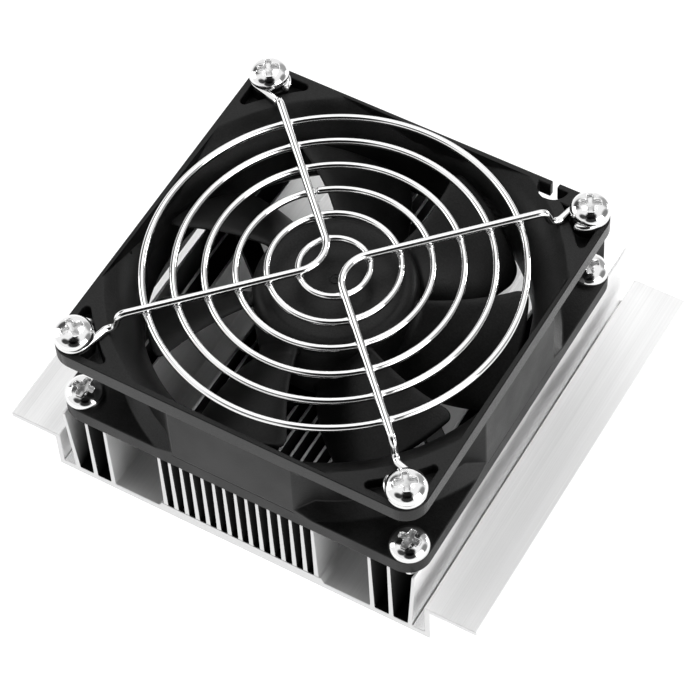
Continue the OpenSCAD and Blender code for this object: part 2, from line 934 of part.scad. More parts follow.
// One leg of a spoke: a straight run, the drop to the flange and the eyelet round the screw
module spoke_leg() {
    bend_h = drop_bend * (1 - cos(drop_angle));
    bend_w = drop_bend * sin(drop_angle);
    foot = spoke_wire / 2;
    veer_end = [drop_end + veer_bend * sin(veer), veer_bend * (1 - cos(veer)), foot];
    translate([spoke_bend, 0, spoke_rise]) {
        wire_joint(spoke_wire);
        wire_run(drop_start - spoke_bend, spoke_wire);
    }
    translate([drop_start, 0, spoke_rise]) {
        wire_joint(spoke_wire);
        translate([0, 0, -drop_bend])
            rotate([90, 0, 0])
                rotate([0, 0, 90 - drop_angle])
                    wire_arc(drop_bend, drop_angle, spoke_wire);
    }
    translate([drop_start + bend_w, 0, spoke_rise - bend_h])
        rotate([0, drop_angle, 0]) {
            wire_joint(spoke_wire);
            wire_run(drop_run, spoke_wire);
            translate([drop_run, 0, 0])
                wire_joint(spoke_wire);
        }
    translate([drop_end, 0, foot]) {
        wire_joint(spoke_wire);
        translate([0, 0, drop_bend])
            rotate([90, 0, 0])
                rotate([0, 0, 270 - drop_angle])
                    wire_arc(drop_bend, drop_angle, spoke_wire);
        translate([0, veer_bend, 0])
            rotate([0, 0, -90])
                wire_arc(veer_bend, veer, spoke_wire);
    }
    translate(veer_end)
        rotate([0, 0, veer]) {
            wire_joint(spoke_wire);
            wire_run(veer_run, spoke_wire);
        }
    translate([corner_reach, 0, foot])
        rotate([0, 0, 90 + veer - eyelet_sweep]) {
            wire_arc(eyelet_r, eyelet_sweep, spoke_wire);
            rotate([0, 0, eyelet_sweep])
                translate([eyelet_r, 0, 0])
                    wire_ball(spoke_wire);
        }
}

// A spoke wire joins two corners through a rounded bend near the middle, welded onto the rings
module guard_spoke(turn) {
    color("whitesmoke")
        at_fan(fan_t)
            difference() {
                rotate([0, 0, turn]) {
                    for (a = [-45, 45])
                        rotate([0, 0, a])
                            spoke_leg();
                    translate([spoke_bend * sqrt(2), 0, spoke_rise])
                        rotate([0, 0, 135])
                            wire_arc(spoke_bend, 90, spoke_wire);
                }
                for (i = [1:rings])
                    translate([0, 0, ring_rise])
                        wire_arc(ring_radius(i), 360, ring_wire + 2 * fit);
            }
}

module guard_spoke_left() {
    guard_spoke(180);
}

module guard_spoke_right() {
    guard_spoke(0);
}

// Pan head screw, with the underside of its head at the origin
module screw(turn) {
    difference() {
        union() {
            rotate_extrude()
                intersection() {
                    square([head_d / 2, head_h]);
                    translate([0, head_h - head_dome])
                        circle(r = head_dome);
                }
            translate([0, 0, screw_point - screw_len])
                cylinder(d = screw_d, h = screw_len - screw_point + eps);
            translate([0, 0, -screw_len])
                cylinder(d1 = point_d, d2 = screw_d, h = screw_point);
        }
        for (a = [0, 90])
            rotate([0, 0, turn + a])
                translate([-recess_span / 2, -recess_w / 2, head_h - recess_depth])
                    cube([recess_span, recess_w, recess_depth + eps]);
    }
}

// Screws that hold the guard on the upper flange
module upper_screws() {
    color("lightgray")
        at_fan(fan_t + spoke_wire + fit)
            at_corners()
                screw(upper_turns[$corner]);
}

// Screws that hold the fan on the heatsink, biting between the edge fins
module lower_screws() {
    color("lightgray")
        at_fan(ear_t)
            at_corners()
                screw(lower_turns[$corner]);
}

heatsink();
fan_frame();
impeller();
rotor_yoke();
magnet_ring();
shaft();
retaining_clip();
thrust_washer();
oil_ring();
sleeve_bearing();
bearing_cap();
stator_core();
lower_insulator();
upper_insulator();
coil_windings();
terminal_pins();
circuit_board();
hall_sensor();
driver_chip();
filter_capacitor();
guard_spoke_left();
guard_spoke_right();
guard_ring(1);  // guard_ring_1
guard_ring(2);  // guard_ring_2
guard_ring(3);  // guard_ring_3
guard_ring(4);  // guard_ring_4
guard_ring(5);  // guard_ring_5
guard_ring(6);  // guard_ring_6
upper_screws();
lower_screws();
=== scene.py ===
"""Looks of a fan-cooled heatsink: a moulded axial fan under a chromed wire guard, on an extrusion.

Shapes are worked out in millimetres in the part's own frame, and make_piece turns them into metres.
"""

import logging
import math
from dataclasses import dataclass, field
from enum import Enum
from functools import partial
from typing import Any

import bmesh
import bpy
import numpy as np
from mathutils import Matrix, Vector

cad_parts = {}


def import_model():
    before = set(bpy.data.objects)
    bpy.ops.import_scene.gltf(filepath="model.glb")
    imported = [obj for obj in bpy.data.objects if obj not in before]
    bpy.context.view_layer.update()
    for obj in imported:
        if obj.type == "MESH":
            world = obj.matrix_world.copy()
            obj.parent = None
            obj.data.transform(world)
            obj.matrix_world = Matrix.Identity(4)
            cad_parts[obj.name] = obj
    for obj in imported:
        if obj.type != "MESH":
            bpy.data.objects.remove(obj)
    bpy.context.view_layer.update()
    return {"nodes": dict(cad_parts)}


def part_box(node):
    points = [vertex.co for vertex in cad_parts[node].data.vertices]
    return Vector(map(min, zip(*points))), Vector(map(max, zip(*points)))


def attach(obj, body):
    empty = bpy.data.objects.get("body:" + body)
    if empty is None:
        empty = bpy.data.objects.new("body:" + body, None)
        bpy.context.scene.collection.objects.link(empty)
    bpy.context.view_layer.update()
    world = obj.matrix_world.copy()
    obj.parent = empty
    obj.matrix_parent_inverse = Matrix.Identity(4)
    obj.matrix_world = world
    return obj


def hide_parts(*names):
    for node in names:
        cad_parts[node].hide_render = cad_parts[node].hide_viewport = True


LOG = logging.getLogger("fan_heatsink")
Tree, Node, Socket = bpy.types.NodeTree, bpy.types.Node, bpy.types.NodeSocket
MM = 0.001
# Points closer than this are one point, in millimetres
WELD = 0.002
# How much more large faces count in the normals at their corners
FLAT_WEIGHT = 90
# Most of a noise texture's values lie between these two
NOISE_LOW, NOISE_HIGH = 0.3, 0.7


class Corner(Enum):
    """Corners of the fan, as the signs of x and y from its axis."""

    FRONT_LEFT = (-1, -1)
    FRONT_RIGHT = (1, -1)
    BACK_RIGHT = (1, 1)
    BACK_LEFT = (-1, 1)


class ScrewRow(Enum):
    """The two rows of screws, by the node that holds them."""

    UPPER = "upper_screws"
    LOWER = "lower_screws"


def linear(code: str) -> tuple[float, float, float, float]:
    """Turns an sRGB hex colour into linear light.

    Args:
        code: colour such as "#1A1A1A".

    Returns:
        Red, green, blue and an alpha of one.
    """
    srgb = np.array([int(code[at:at + 2], 16) for at in (1, 3, 5)]) / 255
    light = np.where(srgb <= 0.04045, srgb / 12.92, ((srgb + 0.055) / 1.055) ** 2.4)
    return (*light.tolist(), 1.0)


def per_mm(size: float) -> float:
    """Gives the texture scale whose marks are size millimetres across, on coordinates in metres."""
    return 1 / (size * MM)


def plug(tree: Tree, node: Node, inputs: dict[str | int, Any]) -> None:
    """Links sockets to a node's inputs, or sets them where a plain value is given.

    Args:
        tree: the material's or world's nodes.
        node: node whose inputs are filled.
        inputs: an output socket or a value for each input's name or number.
    """
    for key, value in inputs.items():
        if isinstance(value, Socket):
            tree.links.new(value, node.inputs[key])
        else:
            node.inputs[key].default_value = value


def add_node(
    tree: Tree, kind: str, inputs: dict[str | int, Any], out: str | int = 0, **settings: Any
) -> Socket:
    """Adds one node with its settings and links.

    Args:
        tree: the material's or world's nodes.
        kind: the node's type.
        inputs: an output socket or a value for each input's name or number.
        out: the output that is wanted.
        **settings: the node's own settings.

    Returns:
        The wanted output socket.
    """
    node = tree.nodes.new(kind)
    for name, value in settings.items():
        setattr(node, name, value)
    plug(tree, node, inputs)
    return node.outputs[out]


@dataclass
class Surface:
    """A grid of points in millimetres.

    Attributes:
        points: rows by columns by three.
        loop: the rows close on themselves as well.
        wrap: the columns close on themselves.
        caps: the first and last rows are filled.
        marks: attribute values for each point, rows by columns.
    """

    points: np.ndarray
    loop: bool = False
    wrap: bool = True
    caps: bool = True
    marks: dict[str, np.ndarray] = field(default_factory=dict)

    def faces(self) -> list[list[int]]:
        """Lists the grid's faces.

        Returns:
            The numbers of each quad's corners, and of the two caps' where it has them.
        """
        rows, columns = self.points.shape[:2]
        row, column = np.meshgrid(
            np.arange(rows if self.loop else rows - 1),
            np.arange(columns if self.wrap else columns - 1),
            indexing="ij",
        )
        below, beside = (row + 1) % rows, (column + 1) % columns
        here, there = row * columns, below * columns
        quads = np.stack([here + column, here + beside, there + beside, there + column], axis=-1)
        faces = quads.reshape(-1, 4).tolist()
        if self.caps and self.wrap and not self.loop:
            faces.append(np.arange(columns)[::-1].tolist())
            faces.append(np.arange((rows - 1) * columns, rows * columns).tolist())
        return faces


def make_piece(name: str, surfaces: list[Surface], sharp: float = 40) -> bpy.types.Object:
    """Makes a closed, outward facing object in metres from surfaces in millimetres.

    Args:
        name: the piece's name.
        surfaces: closed surfaces, or surfaces whose rims meet.
        sharp: edges that turn by more than this many degrees stay sharp.

    Returns:
        The new object, at the origin.
    """
    sizes = [surface.points.shape[0] * surface.points.shape[1] for surface in surfaces]
    starts = np.cumsum([0] + sizes)
    points = np.concatenate([surface.points.reshape(-1, 3) for surface in surfaces]) * MM
    faces = [
        [start + index for index in face]
        for start, surface in zip(starts.tolist(), surfaces)
        for face in surface.faces()
    ]
    mesh = bpy.data.meshes.new(name)
    mesh.from_pydata(points.tolist(), [], faces)
    for mark in sorted({mark for surface in surfaces for mark in surface.marks}):
        values = [
            surface.marks.get(mark, np.zeros(surface.points.shape[:2])).ravel()
            for surface in surfaces
        ]
        layer = mesh.attributes.new(mark, "FLOAT", "POINT")
        layer.data.foreach_set("value", np.concatenate(values).astype(np.float32))
    shape = bmesh.new()
    shape.from_mesh(mesh)
    bmesh.ops.remove_doubles(shape, verts=shape.verts, dist=WELD * MM)
    bmesh.ops.recalc_face_normals(shape, faces=shape.faces)
    shape.to_mesh(mesh)
    shape.free()
    return place_object(name, mesh, sharp)


def add_object(name: str, data: bpy.types.ID) -> bpy.types.Object:
    """Puts a mesh, a camera or a light into the scene.

    Args:
        name: the object's name.
        data: its mesh, camera or light.

    Returns:
        The new object, at the origin.
    """
    made = bpy.data.objects.new(name, data)
    bpy.context.scene.collection.objects.link(made)
    return made


def place_object(name: str, mesh: bpy.types.Mesh, sharp: float) -> bpy.types.Object:
    """Puts a mesh into the scene with smooth faces, and with normals that keep flat faces flat.

    Args:
        name: the object's name.
        mesh: its mesh, in metres.
        sharp: edges that turn by more than this many degrees stay sharp.

    Returns:
        The new object, at the origin.
    """
    mesh.shade_smooth()
    mesh.set_sharp_from_angle(angle=math.radians(sharp))
    piece = add_object(name, mesh)
    flat = piece.modifiers.new("flat_faces", "WEIGHTED_NORMAL")
    flat.keep_sharp = True
    flat.weight = FLAT_WEIGHT
    return piece


def settle(piece: bpy.types.Object, finish: "Finish", body: str, node: str) -> None:
    """Dresses a piece, lets it ride on its body and reports it.

    Args:
        piece: the piece.
        finish: what it is made of.
        body: the body that it moves with.
        node: the node that it stands for, or stands for with others.
    """
    piece.data.materials.append(finish.material())
    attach(piece, body)
    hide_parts(node)
    LOG.info("%s: %d faces, on %s, for %s", piece.name, len(piece.data.polygons), body, node)


def box_mm(node: str) -> tuple[np.ndarray, np.ndarray]:
    """Gives a node's lowest and highest corners in millimetres."""
    low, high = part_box(node)
    return np.array(low) / MM, np.array(high) / MM


def fan_axis() -> np.ndarray:
    """Gives the place of the fan's axis across and along, in millimetres."""
    low, high = box_mm("shaft")
    return (low + high)[:2] / 2


def smooth_step(value: np.ndarray) -> np.ndarray:
    """Rises with the value from nought to one, level at both ends: 3 t squared less 2 t cubed."""
    held = np.clip(value, 0, 1)
    return held * held * (3 - 2 * held)


def blend(
    first: float | np.ndarray, last: float | np.ndarray, share: np.ndarray
) -> np.ndarray:
    """Goes evenly from the first value to the last as the share goes from nought to one."""
    return first + (last - first) * share


def full_turn(count: int) -> np.ndarray:
    """Gives evenly spaced angles once round, in radians."""
    return np.linspace(0, 2 * np.pi, count, endpoint=False)


def unit(vectors: np.ndarray) -> np.ndarray:
    """Brings each vector to a length of one."""
    return vectors / np.linalg.norm(vectors, axis=-1, keepdims=True)


def points_at(*parts: np.ndarray | float) -> np.ndarray:
    """Joins coordinates into points, each spread over the others' rows and columns."""
    return np.stack(np.broadcast_arrays(*parts), axis=-1)


def rounded(
    corners: np.ndarray, radii: np.ndarray, steps: int = 5, closed: bool = False
) -> np.ndarray:
    """Rounds the corners of an outline.

    Each inner corner becomes an arc that touches both of its sides: the arc's centre lies on the
    corner's bisector, and its points turn evenly from one touching point to the other.

    Args:
        corners: the outline's corners, count by two.
        radii: the radius of each corner, over nought at inner corners.
        steps: points on each arc.
        closed: the outline closes, so that its ends are corners as well.

    Returns:
        The rounded outline's points.
    """
    if closed:
        before, here, after = np.roll(corners, 1, axis=0), corners, np.roll(corners, -1, axis=0)
        bend = radii
    else:
        before, here, after = corners[:-2], corners[1:-1], corners[2:]
        bend = radii[1:-1]
    back, ahead = unit(before - here), unit(after - here)
    half = np.arccos(np.clip(np.sum(back * ahead, axis=1), -1, 1)) / 2
    centre = here + unit(back + ahead) * (bend / np.sin(half))[:, None]
    reach = (bend / np.tan(half))[:, None]
    first, last = here + back * reach - centre, here + ahead * reach - centre
    turn = (np.pi - 2 * half)[:, None]
    share = np.linspace(0, 1, steps)[None, :]
    arcs = (
        centre[:, None]
        + (np.sin((1 - share) * turn) / np.sin(turn))[..., None] * first[:, None]
        + (np.sin(share * turn) / np.sin(turn))[..., None] * last[:, None]
    ).reshape(-1, 2)
    return arcs if closed else np.concatenate([corners[:1], arcs, corners[-1:]])


def turned(profile: np.ndarray, centre: np.ndarray, sides: int) -> np.ndarray:
    """Carries a profile of radius and height round an upright axis.

    Args:
        profile: radius and height of each point.
        centre: a point on the axis, from which heights count.
        sides: points round the axis.

    Returns:
        Rows along the profile by columns round the axis.
    """
    angle = full_turn(sides)
    radius, height = profile[:, :1], profile[:, 1:]
    return centre + points_at(radius * np.cos(angle), radius * np.sin(angle), height)


def spin_z(points: np.ndarray, turn: float) -> np.ndarray:
    """Turns points about the z axis.

    Args:
        points: rows of points, or a grid of them.
        turn: the turn in degrees, anticlockwise from above.

    Returns:
        The turned points.
    """
    angle = math.radians(turn)
    cos, sin = math.cos(angle), math.sin(angle)
    return points @ np.array([[cos, sin, 0], [-sin, cos, 0], [0, 0, 1]])


def tube(path: np.ndarray, radius: np.ndarray, sides: int, closed: bool = False) -> np.ndarray:
    """Carries a circle along a path that is nowhere upright.

    At each point the circle lies square to the path: one of its axes is level, the other is square
    to that axis and to the path.

    Args:
        path: points along the middle of the wire.
        radius: the wire's radius at each point.
        sides: points round the wire.
        closed: the path closes on itself.

    Returns:
        Rows along the path by columns round the wire.
    """
    if closed:
        along = np.roll(path, -1, axis=0) - np.roll(path, 1, axis=0)
    else:
        along = np.gradient(path, axis=0)
    level = unit(np.cross(along, [0, 0, 1]))
    rise = unit(np.cross(level, along))
    angle = full_turn(sides)[None, :, None]
    ring = np.cos(angle) * level[:, None] + np.sin(angle) * rise[:, None]
    return path[:, None] + radius[:, None, None] * ring


@dataclass(frozen=True)
class Finish:
    """What a piece is made of.

    Attributes:
        name: the material's name.
        slot: name of a material slot; not used.
    """

    name: str
    slot: str

    def material(self) -> bpy.types.Material:
        """Makes the material, unless it is there already.

        Returns:
            The same material each time.
        """
        made = bpy.data.materials.get(self.name)
        if made is None:
            made = bpy.data.materials.new(self.name)
            made.use_nodes = True
            tree = made.node_tree
            place = add_node(tree, "ShaderNodeTexCoord", {}, "Object")
            self.dress(tree, tree.nodes["Principled BSDF"], place)
        return made

    def dress(self, tree: Tree, shader: Node, place: Socket) -> None:
        """Adds the finish's nodes.

        Args:
            tree: the material's nodes.
            shader: its shader.
            place: object coordinates.
        """
        raise NotImplementedError

    @staticmethod
    def tones(
        tree: Tree, height: Socket, window: tuple[float, float], dark: str, light: str
    ) -> Socket:
        """Mixes two tones by the height of a pattern.

        Args:
            tree: the material's nodes.
            height: the pattern's height.
            window: heights of the darkest and the lightest tone.
            dark: colour in the hollows.
            light: colour on the tops.

        Returns:
            The colour.
        """
        add = partial(add_node, tree)
        shade = add(
            "ShaderNodeMapRange", {"Value": height, "From Min": window[0], "From Max": window[1]}
        )
        return add(
            "ShaderNodeMix", {0: shade, 6: linear(dark), 7: linear(light)}, 2, data_type="RGBA"
        )


@dataclass(frozen=True)
class MouldedPlastic(Finish):
    """Filled thermoplastic from an eroded mould: near black, dull, with a fine even grain.

    Attributes:
        dark: colour in the grain's hollows.
        light: colour on its tops.
        grain: width of a grain in millimetres.
        cloud: width of the slow changes of sheen.
        rough_low: roughness where it is shiniest.
        rough_high: roughness where it is dullest.
        depth: depth of the grain in millimetres.
        specular: strength of the surface's mirror part.
        shade: grain times cloud where the colour is darkest and lightest.
    """

    dark: str = "#060606"
    light: str = "#1E1E1E"
    grain: float = 0.34
    cloud: float = 11
    rough_low: float = 0.33
    rough_high: float = 0.5
    depth: float = 0.04
    specular: float = 0.24
    shade: tuple[float, float] = (0.12, 0.42)

    def dress(self, tree: Tree, shader: Node, place: Socket) -> None:
        """Adds grain to the colour and the relief, and slow changes of sheen.

        Args:
            tree: the material's nodes.
            shader: its shader.
            place: object coordinates.
        """
        add = partial(add_node, tree)
        # Spark erosion leaves a grain of about 0.05 mm, drawn coarser so that it shows
        grain = add(
            "ShaderNodeTexNoise",
            {"Vector": place, "Scale": per_mm(self.grain), "Detail": 2.0, "Roughness": 0.6}, "Fac",
        )
        cloud = add(
            "ShaderNodeTexNoise",
            {"Vector": place, "Scale": per_mm(self.cloud), "Detail": 3.0}, "Fac",
        )
        both = add("ShaderNodeMath", {0: grain, 1: cloud}, operation="MULTIPLY")
        colour = self.tones(tree, both, self.shade, self.dark, self.light)
        rough = add(
            "ShaderNodeMapRange",
            {
                "Value": cloud, "From Min": NOISE_LOW, "From Max": NOISE_HIGH,
                "To Min": self.rough_low, "To Max": self.rough_high,
            },
        )
        relief = add(
            "ShaderNodeBump",
            {"Height": grain, "Strength": 1.0, "Distance": self.depth * MM}, "Normal",
        )
        plug(tree, shader, {"Base Color": colour, "Roughness": rough, "Normal": relief})
        plug(tree, shader, {"IOR": 1.5, "Specular IOR Level": self.specular})


@dataclass(frozen=True)
class PartedPlastic(MouldedPlastic):
    """The frame's moulding: the same plastic, with a parting line and smoother upper rims.

    Attributes:
        line: height of the parting line in millimetres.
        line_half: half the line's width.
        line_depth: depth of the line.
        panel: half width of the side panels that show it.
        rim: height above which the upper flange's rim is smoother.
        outside: distance of the frame's sides from its axis.
        axis_y: place of the fan's axis along y.
        rim_rough: roughness of the rim.
    """

    line: float = 26.75
    line_half: float = 0.2
    line_depth: float = 0.3
    panel: float = 15.6
    rim: float = 43.2
    outside: float = 45.8
    axis_y: float = -4
    rim_rough: float = 0.2

    def dress(self, tree: Tree, shader: Node, place: Socket) -> None:
        """Adds the plastic, then sinks the parting line into the panels and polishes the rim.

        Args:
            tree: the material's nodes.
            shader: its shader.
            place: object coordinates.
        """
        super().dress(tree, shader, place)
        add = partial(add_node, tree)
        to_axis = (0, -self.axis_y * MM, 0)
        centred = add("ShaderNodeMapping", {"Vector": place, "Location": to_axis})
        even = add("ShaderNodeVectorMath", {0: centred}, operation="ABSOLUTE")
        x, y, z = (add("ShaderNodeSeparateXYZ", {0: even}, axis) for axis in "XYZ")
        near = add("ShaderNodeMath", {0: x, 1: y}, operation="MINIMUM")
        far = add("ShaderNodeMath", {0: x, 1: y}, operation="MAXIMUM")
        outer = add("ShaderNodeMath", {0: far, 1: self.outside * MM}, operation="GREATER_THAN")
        panel = add("ShaderNodeMath", {0: near, 1: self.panel * MM}, operation="LESS_THAN")
        off_line = add("ShaderNodeMath", {0: z, 1: -self.line * MM})
        away = add("ShaderNodeMath", {0: off_line}, operation="ABSOLUTE")
        groove = add(
            "ShaderNodeMapRange",
            {"Value": away, "From Max": self.line_half * MM, "To Min": 1.0, "To Max": 0.0},
        )
        shown = add("ShaderNodeMath", {0: panel, 1: outer}, operation="MULTIPLY")
        line = add("ShaderNodeMath", {0: groove, 1: shown}, operation="MULTIPLY")
        high = add("ShaderNodeMath", {0: z, 1: self.rim * MM}, operation="GREATER_THAN")
        rim = add("ShaderNodeMath", {0: high, 1: outer}, operation="MULTIPLY")
        grained, grain = (
            shader.inputs[name].links[0].from_socket for name in ("Roughness", "Normal")
        )
        rough = add("ShaderNodeMix", {0: rim, 2: grained, 3: self.rim_rough}, 0)
        sunk = add(
            "ShaderNodeBump",
            {"Height": line, "Strength": 1.0, "Distance": self.line_depth * MM, "Normal": grain},
            "Normal", invert=True,
        )
        plug(tree, shader, {"Roughness": rough, "Normal": sunk})


@dataclass(frozen=True)
class ExtrudedAluminium(Finish):
    """Mill finish aluminium: pale satin metal with die lines along the extrusion and sawn ends.

    Attributes:
        dark: colour in the die lines.
        light: colour between them.
        gap_shade: colour between the fins: painted shade, darker deeper down, over some dust and
            cutting oil.
        sawn: colour of the ends, where the saw's scratches shade each other.
        drawn: colour of the two side channels: the drawn skin, with painted light that grows deeper
            down.
        line: width of a die line in millimetres.
        band: width of the broad bands of sheen.
        saw: spacing of the saw marks on the ends.
        rough_low: roughness of the shiniest bands.
        rough_high: roughness of the dullest bands.
        rough_cut: roughness of the sawn ends.
        rough_drawn: roughness of the side channels, as the die left them.
        rough_gap_shade: roughness of the dust and the painted shade between the fins.
        draw: how fast the die lines change along the extrusion, as a share of that across it.
        stroke: how fast the saw marks change across it, as a share of that upwards.
        shade: heights of the marks where the colour is darkest and lightest.
        relief: strength of the marks' relief.
        depth: their depth in millimetres.
    """

    dark: str = "#ECECEC"
    light: str = "#F6F6F6"
    # The dark tone between the fins is painted shade over some dust
    gap_shade: str = "#262626"
    sawn: str = "#E4E4E4"
    # The side channels' paler tone is partly painted light
    drawn: str = "#FAFAFA"
    line: float = 0.3
    band: float = 4
    saw: float = 0.5
    rough_low: float = 0.56
    rough_high: float = 0.7
    rough_cut: float = 0.6
    rough_drawn: float = 0.27
    rough_gap_shade: float = 0.95
    draw: float = 0.006
    stroke: float = 0.04
    shade: tuple[float, float] = (0.25, 0.65)
    relief: float = 0.35
    depth: float = 0.03

    def dress(self, tree: Tree, shader: Node, place: Socket) -> None:
        """Adds lines that run the length of the extrusion, and level saw marks on its cut ends.

        Args:
            tree: the material's nodes.
            shader: its shader.
            place: object coordinates.
        """
        add = partial(add_node, tree)
        length = add("ShaderNodeMapping", {"Vector": place, "Scale": (1, self.draw, 1)})
        lines = add(
            "ShaderNodeTexNoise",
            {"Vector": length, "Scale": per_mm(self.line), "Detail": 4.0, "Roughness": 0.7}, "Fac",
        )
        bands = add(
            "ShaderNodeTexNoise",
            {"Vector": length, "Scale": per_mm(self.band), "Detail": 2.0}, "Fac",
        )
        across = add("ShaderNodeMapping", {"Vector": place, "Scale": (self.stroke, 1, 1)})
        marks = add(
            "ShaderNodeTexNoise",
            {"Vector": across, "Scale": per_mm(self.saw), "Detail": 3.0, "Roughness": 0.7}, "Fac",
        )
        cut = add("ShaderNodeAttribute", {}, "Fac", attribute_name="cut_end")
        height = add("ShaderNodeMix", {0: cut, 2: lines, 3: marks}, 0)
        colour = self.tones(tree, height, self.shade, self.dark, self.light)
        rough = add(
            "ShaderNodeMapRange",
            {
                "Value": bands, "From Min": NOISE_LOW, "From Max": NOISE_HIGH,
                "To Min": self.rough_low, "To Max": self.rough_high,
            },
        )
        side = add("ShaderNodeAttribute", {}, "Fac", attribute_name="side_channel")
        # This mark paints shade between the fins, over some dust, darker deeper down
        between = add("ShaderNodeAttribute", {}, "Fac", attribute_name="fin_gap")
        uncut = add("ShaderNodeMath", {0: 1.0, 1: cut}, operation="SUBTRACT")
        dust_and_shade = add("ShaderNodeMath", {0: between, 1: uncut}, operation="MULTIPLY")
        # Each kind of place covers the one before: drawn skin with painted light, then the saw's
        # cut, then dust with painted shade
        for mask, tone, dullness in (
            (side, self.drawn, self.rough_drawn), (cut, self.sawn, self.rough_cut),
            (dust_and_shade, self.gap_shade, self.rough_gap_shade),
        ):
            colour = add(
                "ShaderNodeMix", {0: mask, 6: colour, 7: linear(tone)}, 2, data_type="RGBA"
            )
            rough = add("ShaderNodeMix", {0: mask, 2: rough, 3: dullness}, 0)
        relief = add(
            "ShaderNodeBump",
            {"Height": height, "Strength": self.relief, "Distance": self.depth * MM}, "Normal",
        )
        plug(tree, shader, {
            "Base Color": colour, "Roughness": rough, "Normal": relief, "Metallic": 1.0,
        })


@dataclass(frozen=True)
class BrightPlating(Finish):
    """Bright plated steel: a faintly wavy mirror, dull in welds and recesses, bright where worn.

    Attributes:
        tone: colour of the plating.
        dull: colour of welds and recesses.
        polish: roughness of the plating.
        wave: width of the faint waves in millimetres.
        spread: shares of that roughness where the waves are smoothest and roughest.
        rough_dull: roughness of welds and recesses.
        relief: strength of the waves' relief.
        depth: their depth in millimetres.
    """

    tone: str = "#EBEBEB"
    dull: str = "#E4E4E4"
    polish: float = 0.08
    wave: float = 1.6
    spread: tuple[float, float] = (0.6, 1.5)
    rough_dull: float = 0.5
    relief: float = 0.25
    depth: float = 0.03

    def dress(self, tree: Tree, shader: Node, place: Socket) -> None:
        """Adds faint waves, and dulls the plating where the piece is marked as dull.

        Args:
            tree: the material's nodes.
            shader: its shader.
            place: object coordinates.
        """
        add = partial(add_node, tree)
        wave = add(
            "ShaderNodeTexNoise",
            {"Vector": place, "Scale": per_mm(self.wave), "Detail": 3.0}, "Fac",
        )
        dull = add("ShaderNodeAttribute", {}, "Fac", attribute_name="dull")
        colour = add(
            "ShaderNodeMix",
            {0: dull, 6: linear(self.tone), 7: linear(self.dull)}, 2, data_type="RGBA",
        )
        sheen = add(
            "ShaderNodeMapRange",
            {
                "Value": wave, "From Min": NOISE_LOW, "From Max": NOISE_HIGH,
                "To Min": self.polish * self.spread[0], "To Max": self.polish * self.spread[1],
            },
        )
        rough = add("ShaderNodeMix", {0: dull, 2: sheen, 3: self.rough_dull}, 0)
        relief = add(
            "ShaderNodeBump",
            {"Height": wave, "Strength": self.relief, "Distance": self.depth * MM}, "Normal",
        )
        plug(tree, shader, {
            "Base Color": colour, "Roughness": rough, "Normal": relief, "Metallic": 1.0,
        })


@dataclass(frozen=True)
class MotorMaterial(Finish):
    """A material inside the motor: two tones in a fine pattern, which may be drawn out one way.

    Attributes:
        dark: colour in the pattern's hollows.
        light: colour on its tops.
        size: width of the pattern in millimetres.
        stretch: how fast the pattern changes along x, y and z.
        rough: roughness.
        metal: one for a metal, nought otherwise.
        shade: heights of the pattern where the colour is darkest and lightest.
        spread: share by which the roughness goes up and down.
        relief: strength of the pattern's relief.
        depth: its depth in millimetres.
    """

    dark: str = "#303030"
    light: str = "#505050"
    size: float = 0.4
    stretch: tuple[float, float, float] = (1, 1, 1)
    rough: float = 0.45
    metal: float = 0
    shade: tuple[float, float] = (0.35, 0.65)
    spread: float = 0.2
    relief: float = 0.3
    depth: float = 0.02

    def dress(self, tree: Tree, shader: Node, place: Socket) -> None:
        """Adds the pattern to the colour, the sheen and the relief.

        Args:
            tree: the material's nodes.
            shader: its shader.
            place: object coordinates.
        """
        add = partial(add_node, tree)
        along = add("ShaderNodeMapping", {"Vector": place, "Scale": self.stretch})
        pattern = add(
            "ShaderNodeTexNoise",
            {"Vector": along, "Scale": per_mm(self.size), "Detail": 3.0}, "Fac",
        )
        colour = self.tones(tree, pattern, self.shade, self.dark, self.light)
        low, high = self.rough * (1 - self.spread), min(1, self.rough * (1 + self.spread))
        rough = add("ShaderNodeMapRange", {"Value": pattern, "To Min": low, "To Max": high})
        relief = add(
            "ShaderNodeBump",
            {"Height": pattern, "Strength": self.relief, "Distance": self.depth * MM}, "Normal",
        )
        plug(tree, shader, {
            "Base Color": colour, "Roughness": rough, "Normal": relief, "Metallic": self.metal,
        })


FRAME_PLASTIC = PartedPlastic("filled_polyester_moulded", "frame_plastic")
IMPELLER_PLASTIC = MouldedPlastic(
    "filled_polyester_fine_moulded", "impeller_plastic", grain=0.4, rough_low=0.36, rough_high=0.5
)
ALUMINIUM = ExtrudedAluminium("aluminium_mill_extruded", "mill_aluminium")
CHROMED_WIRE = BrightPlating("steel_wire_chromed", "guard_wire")
NICKEL_SCREW = BrightPlating("steel_screw_nickel_plated", "screw_steel", polish=0.1, wave=1.2)


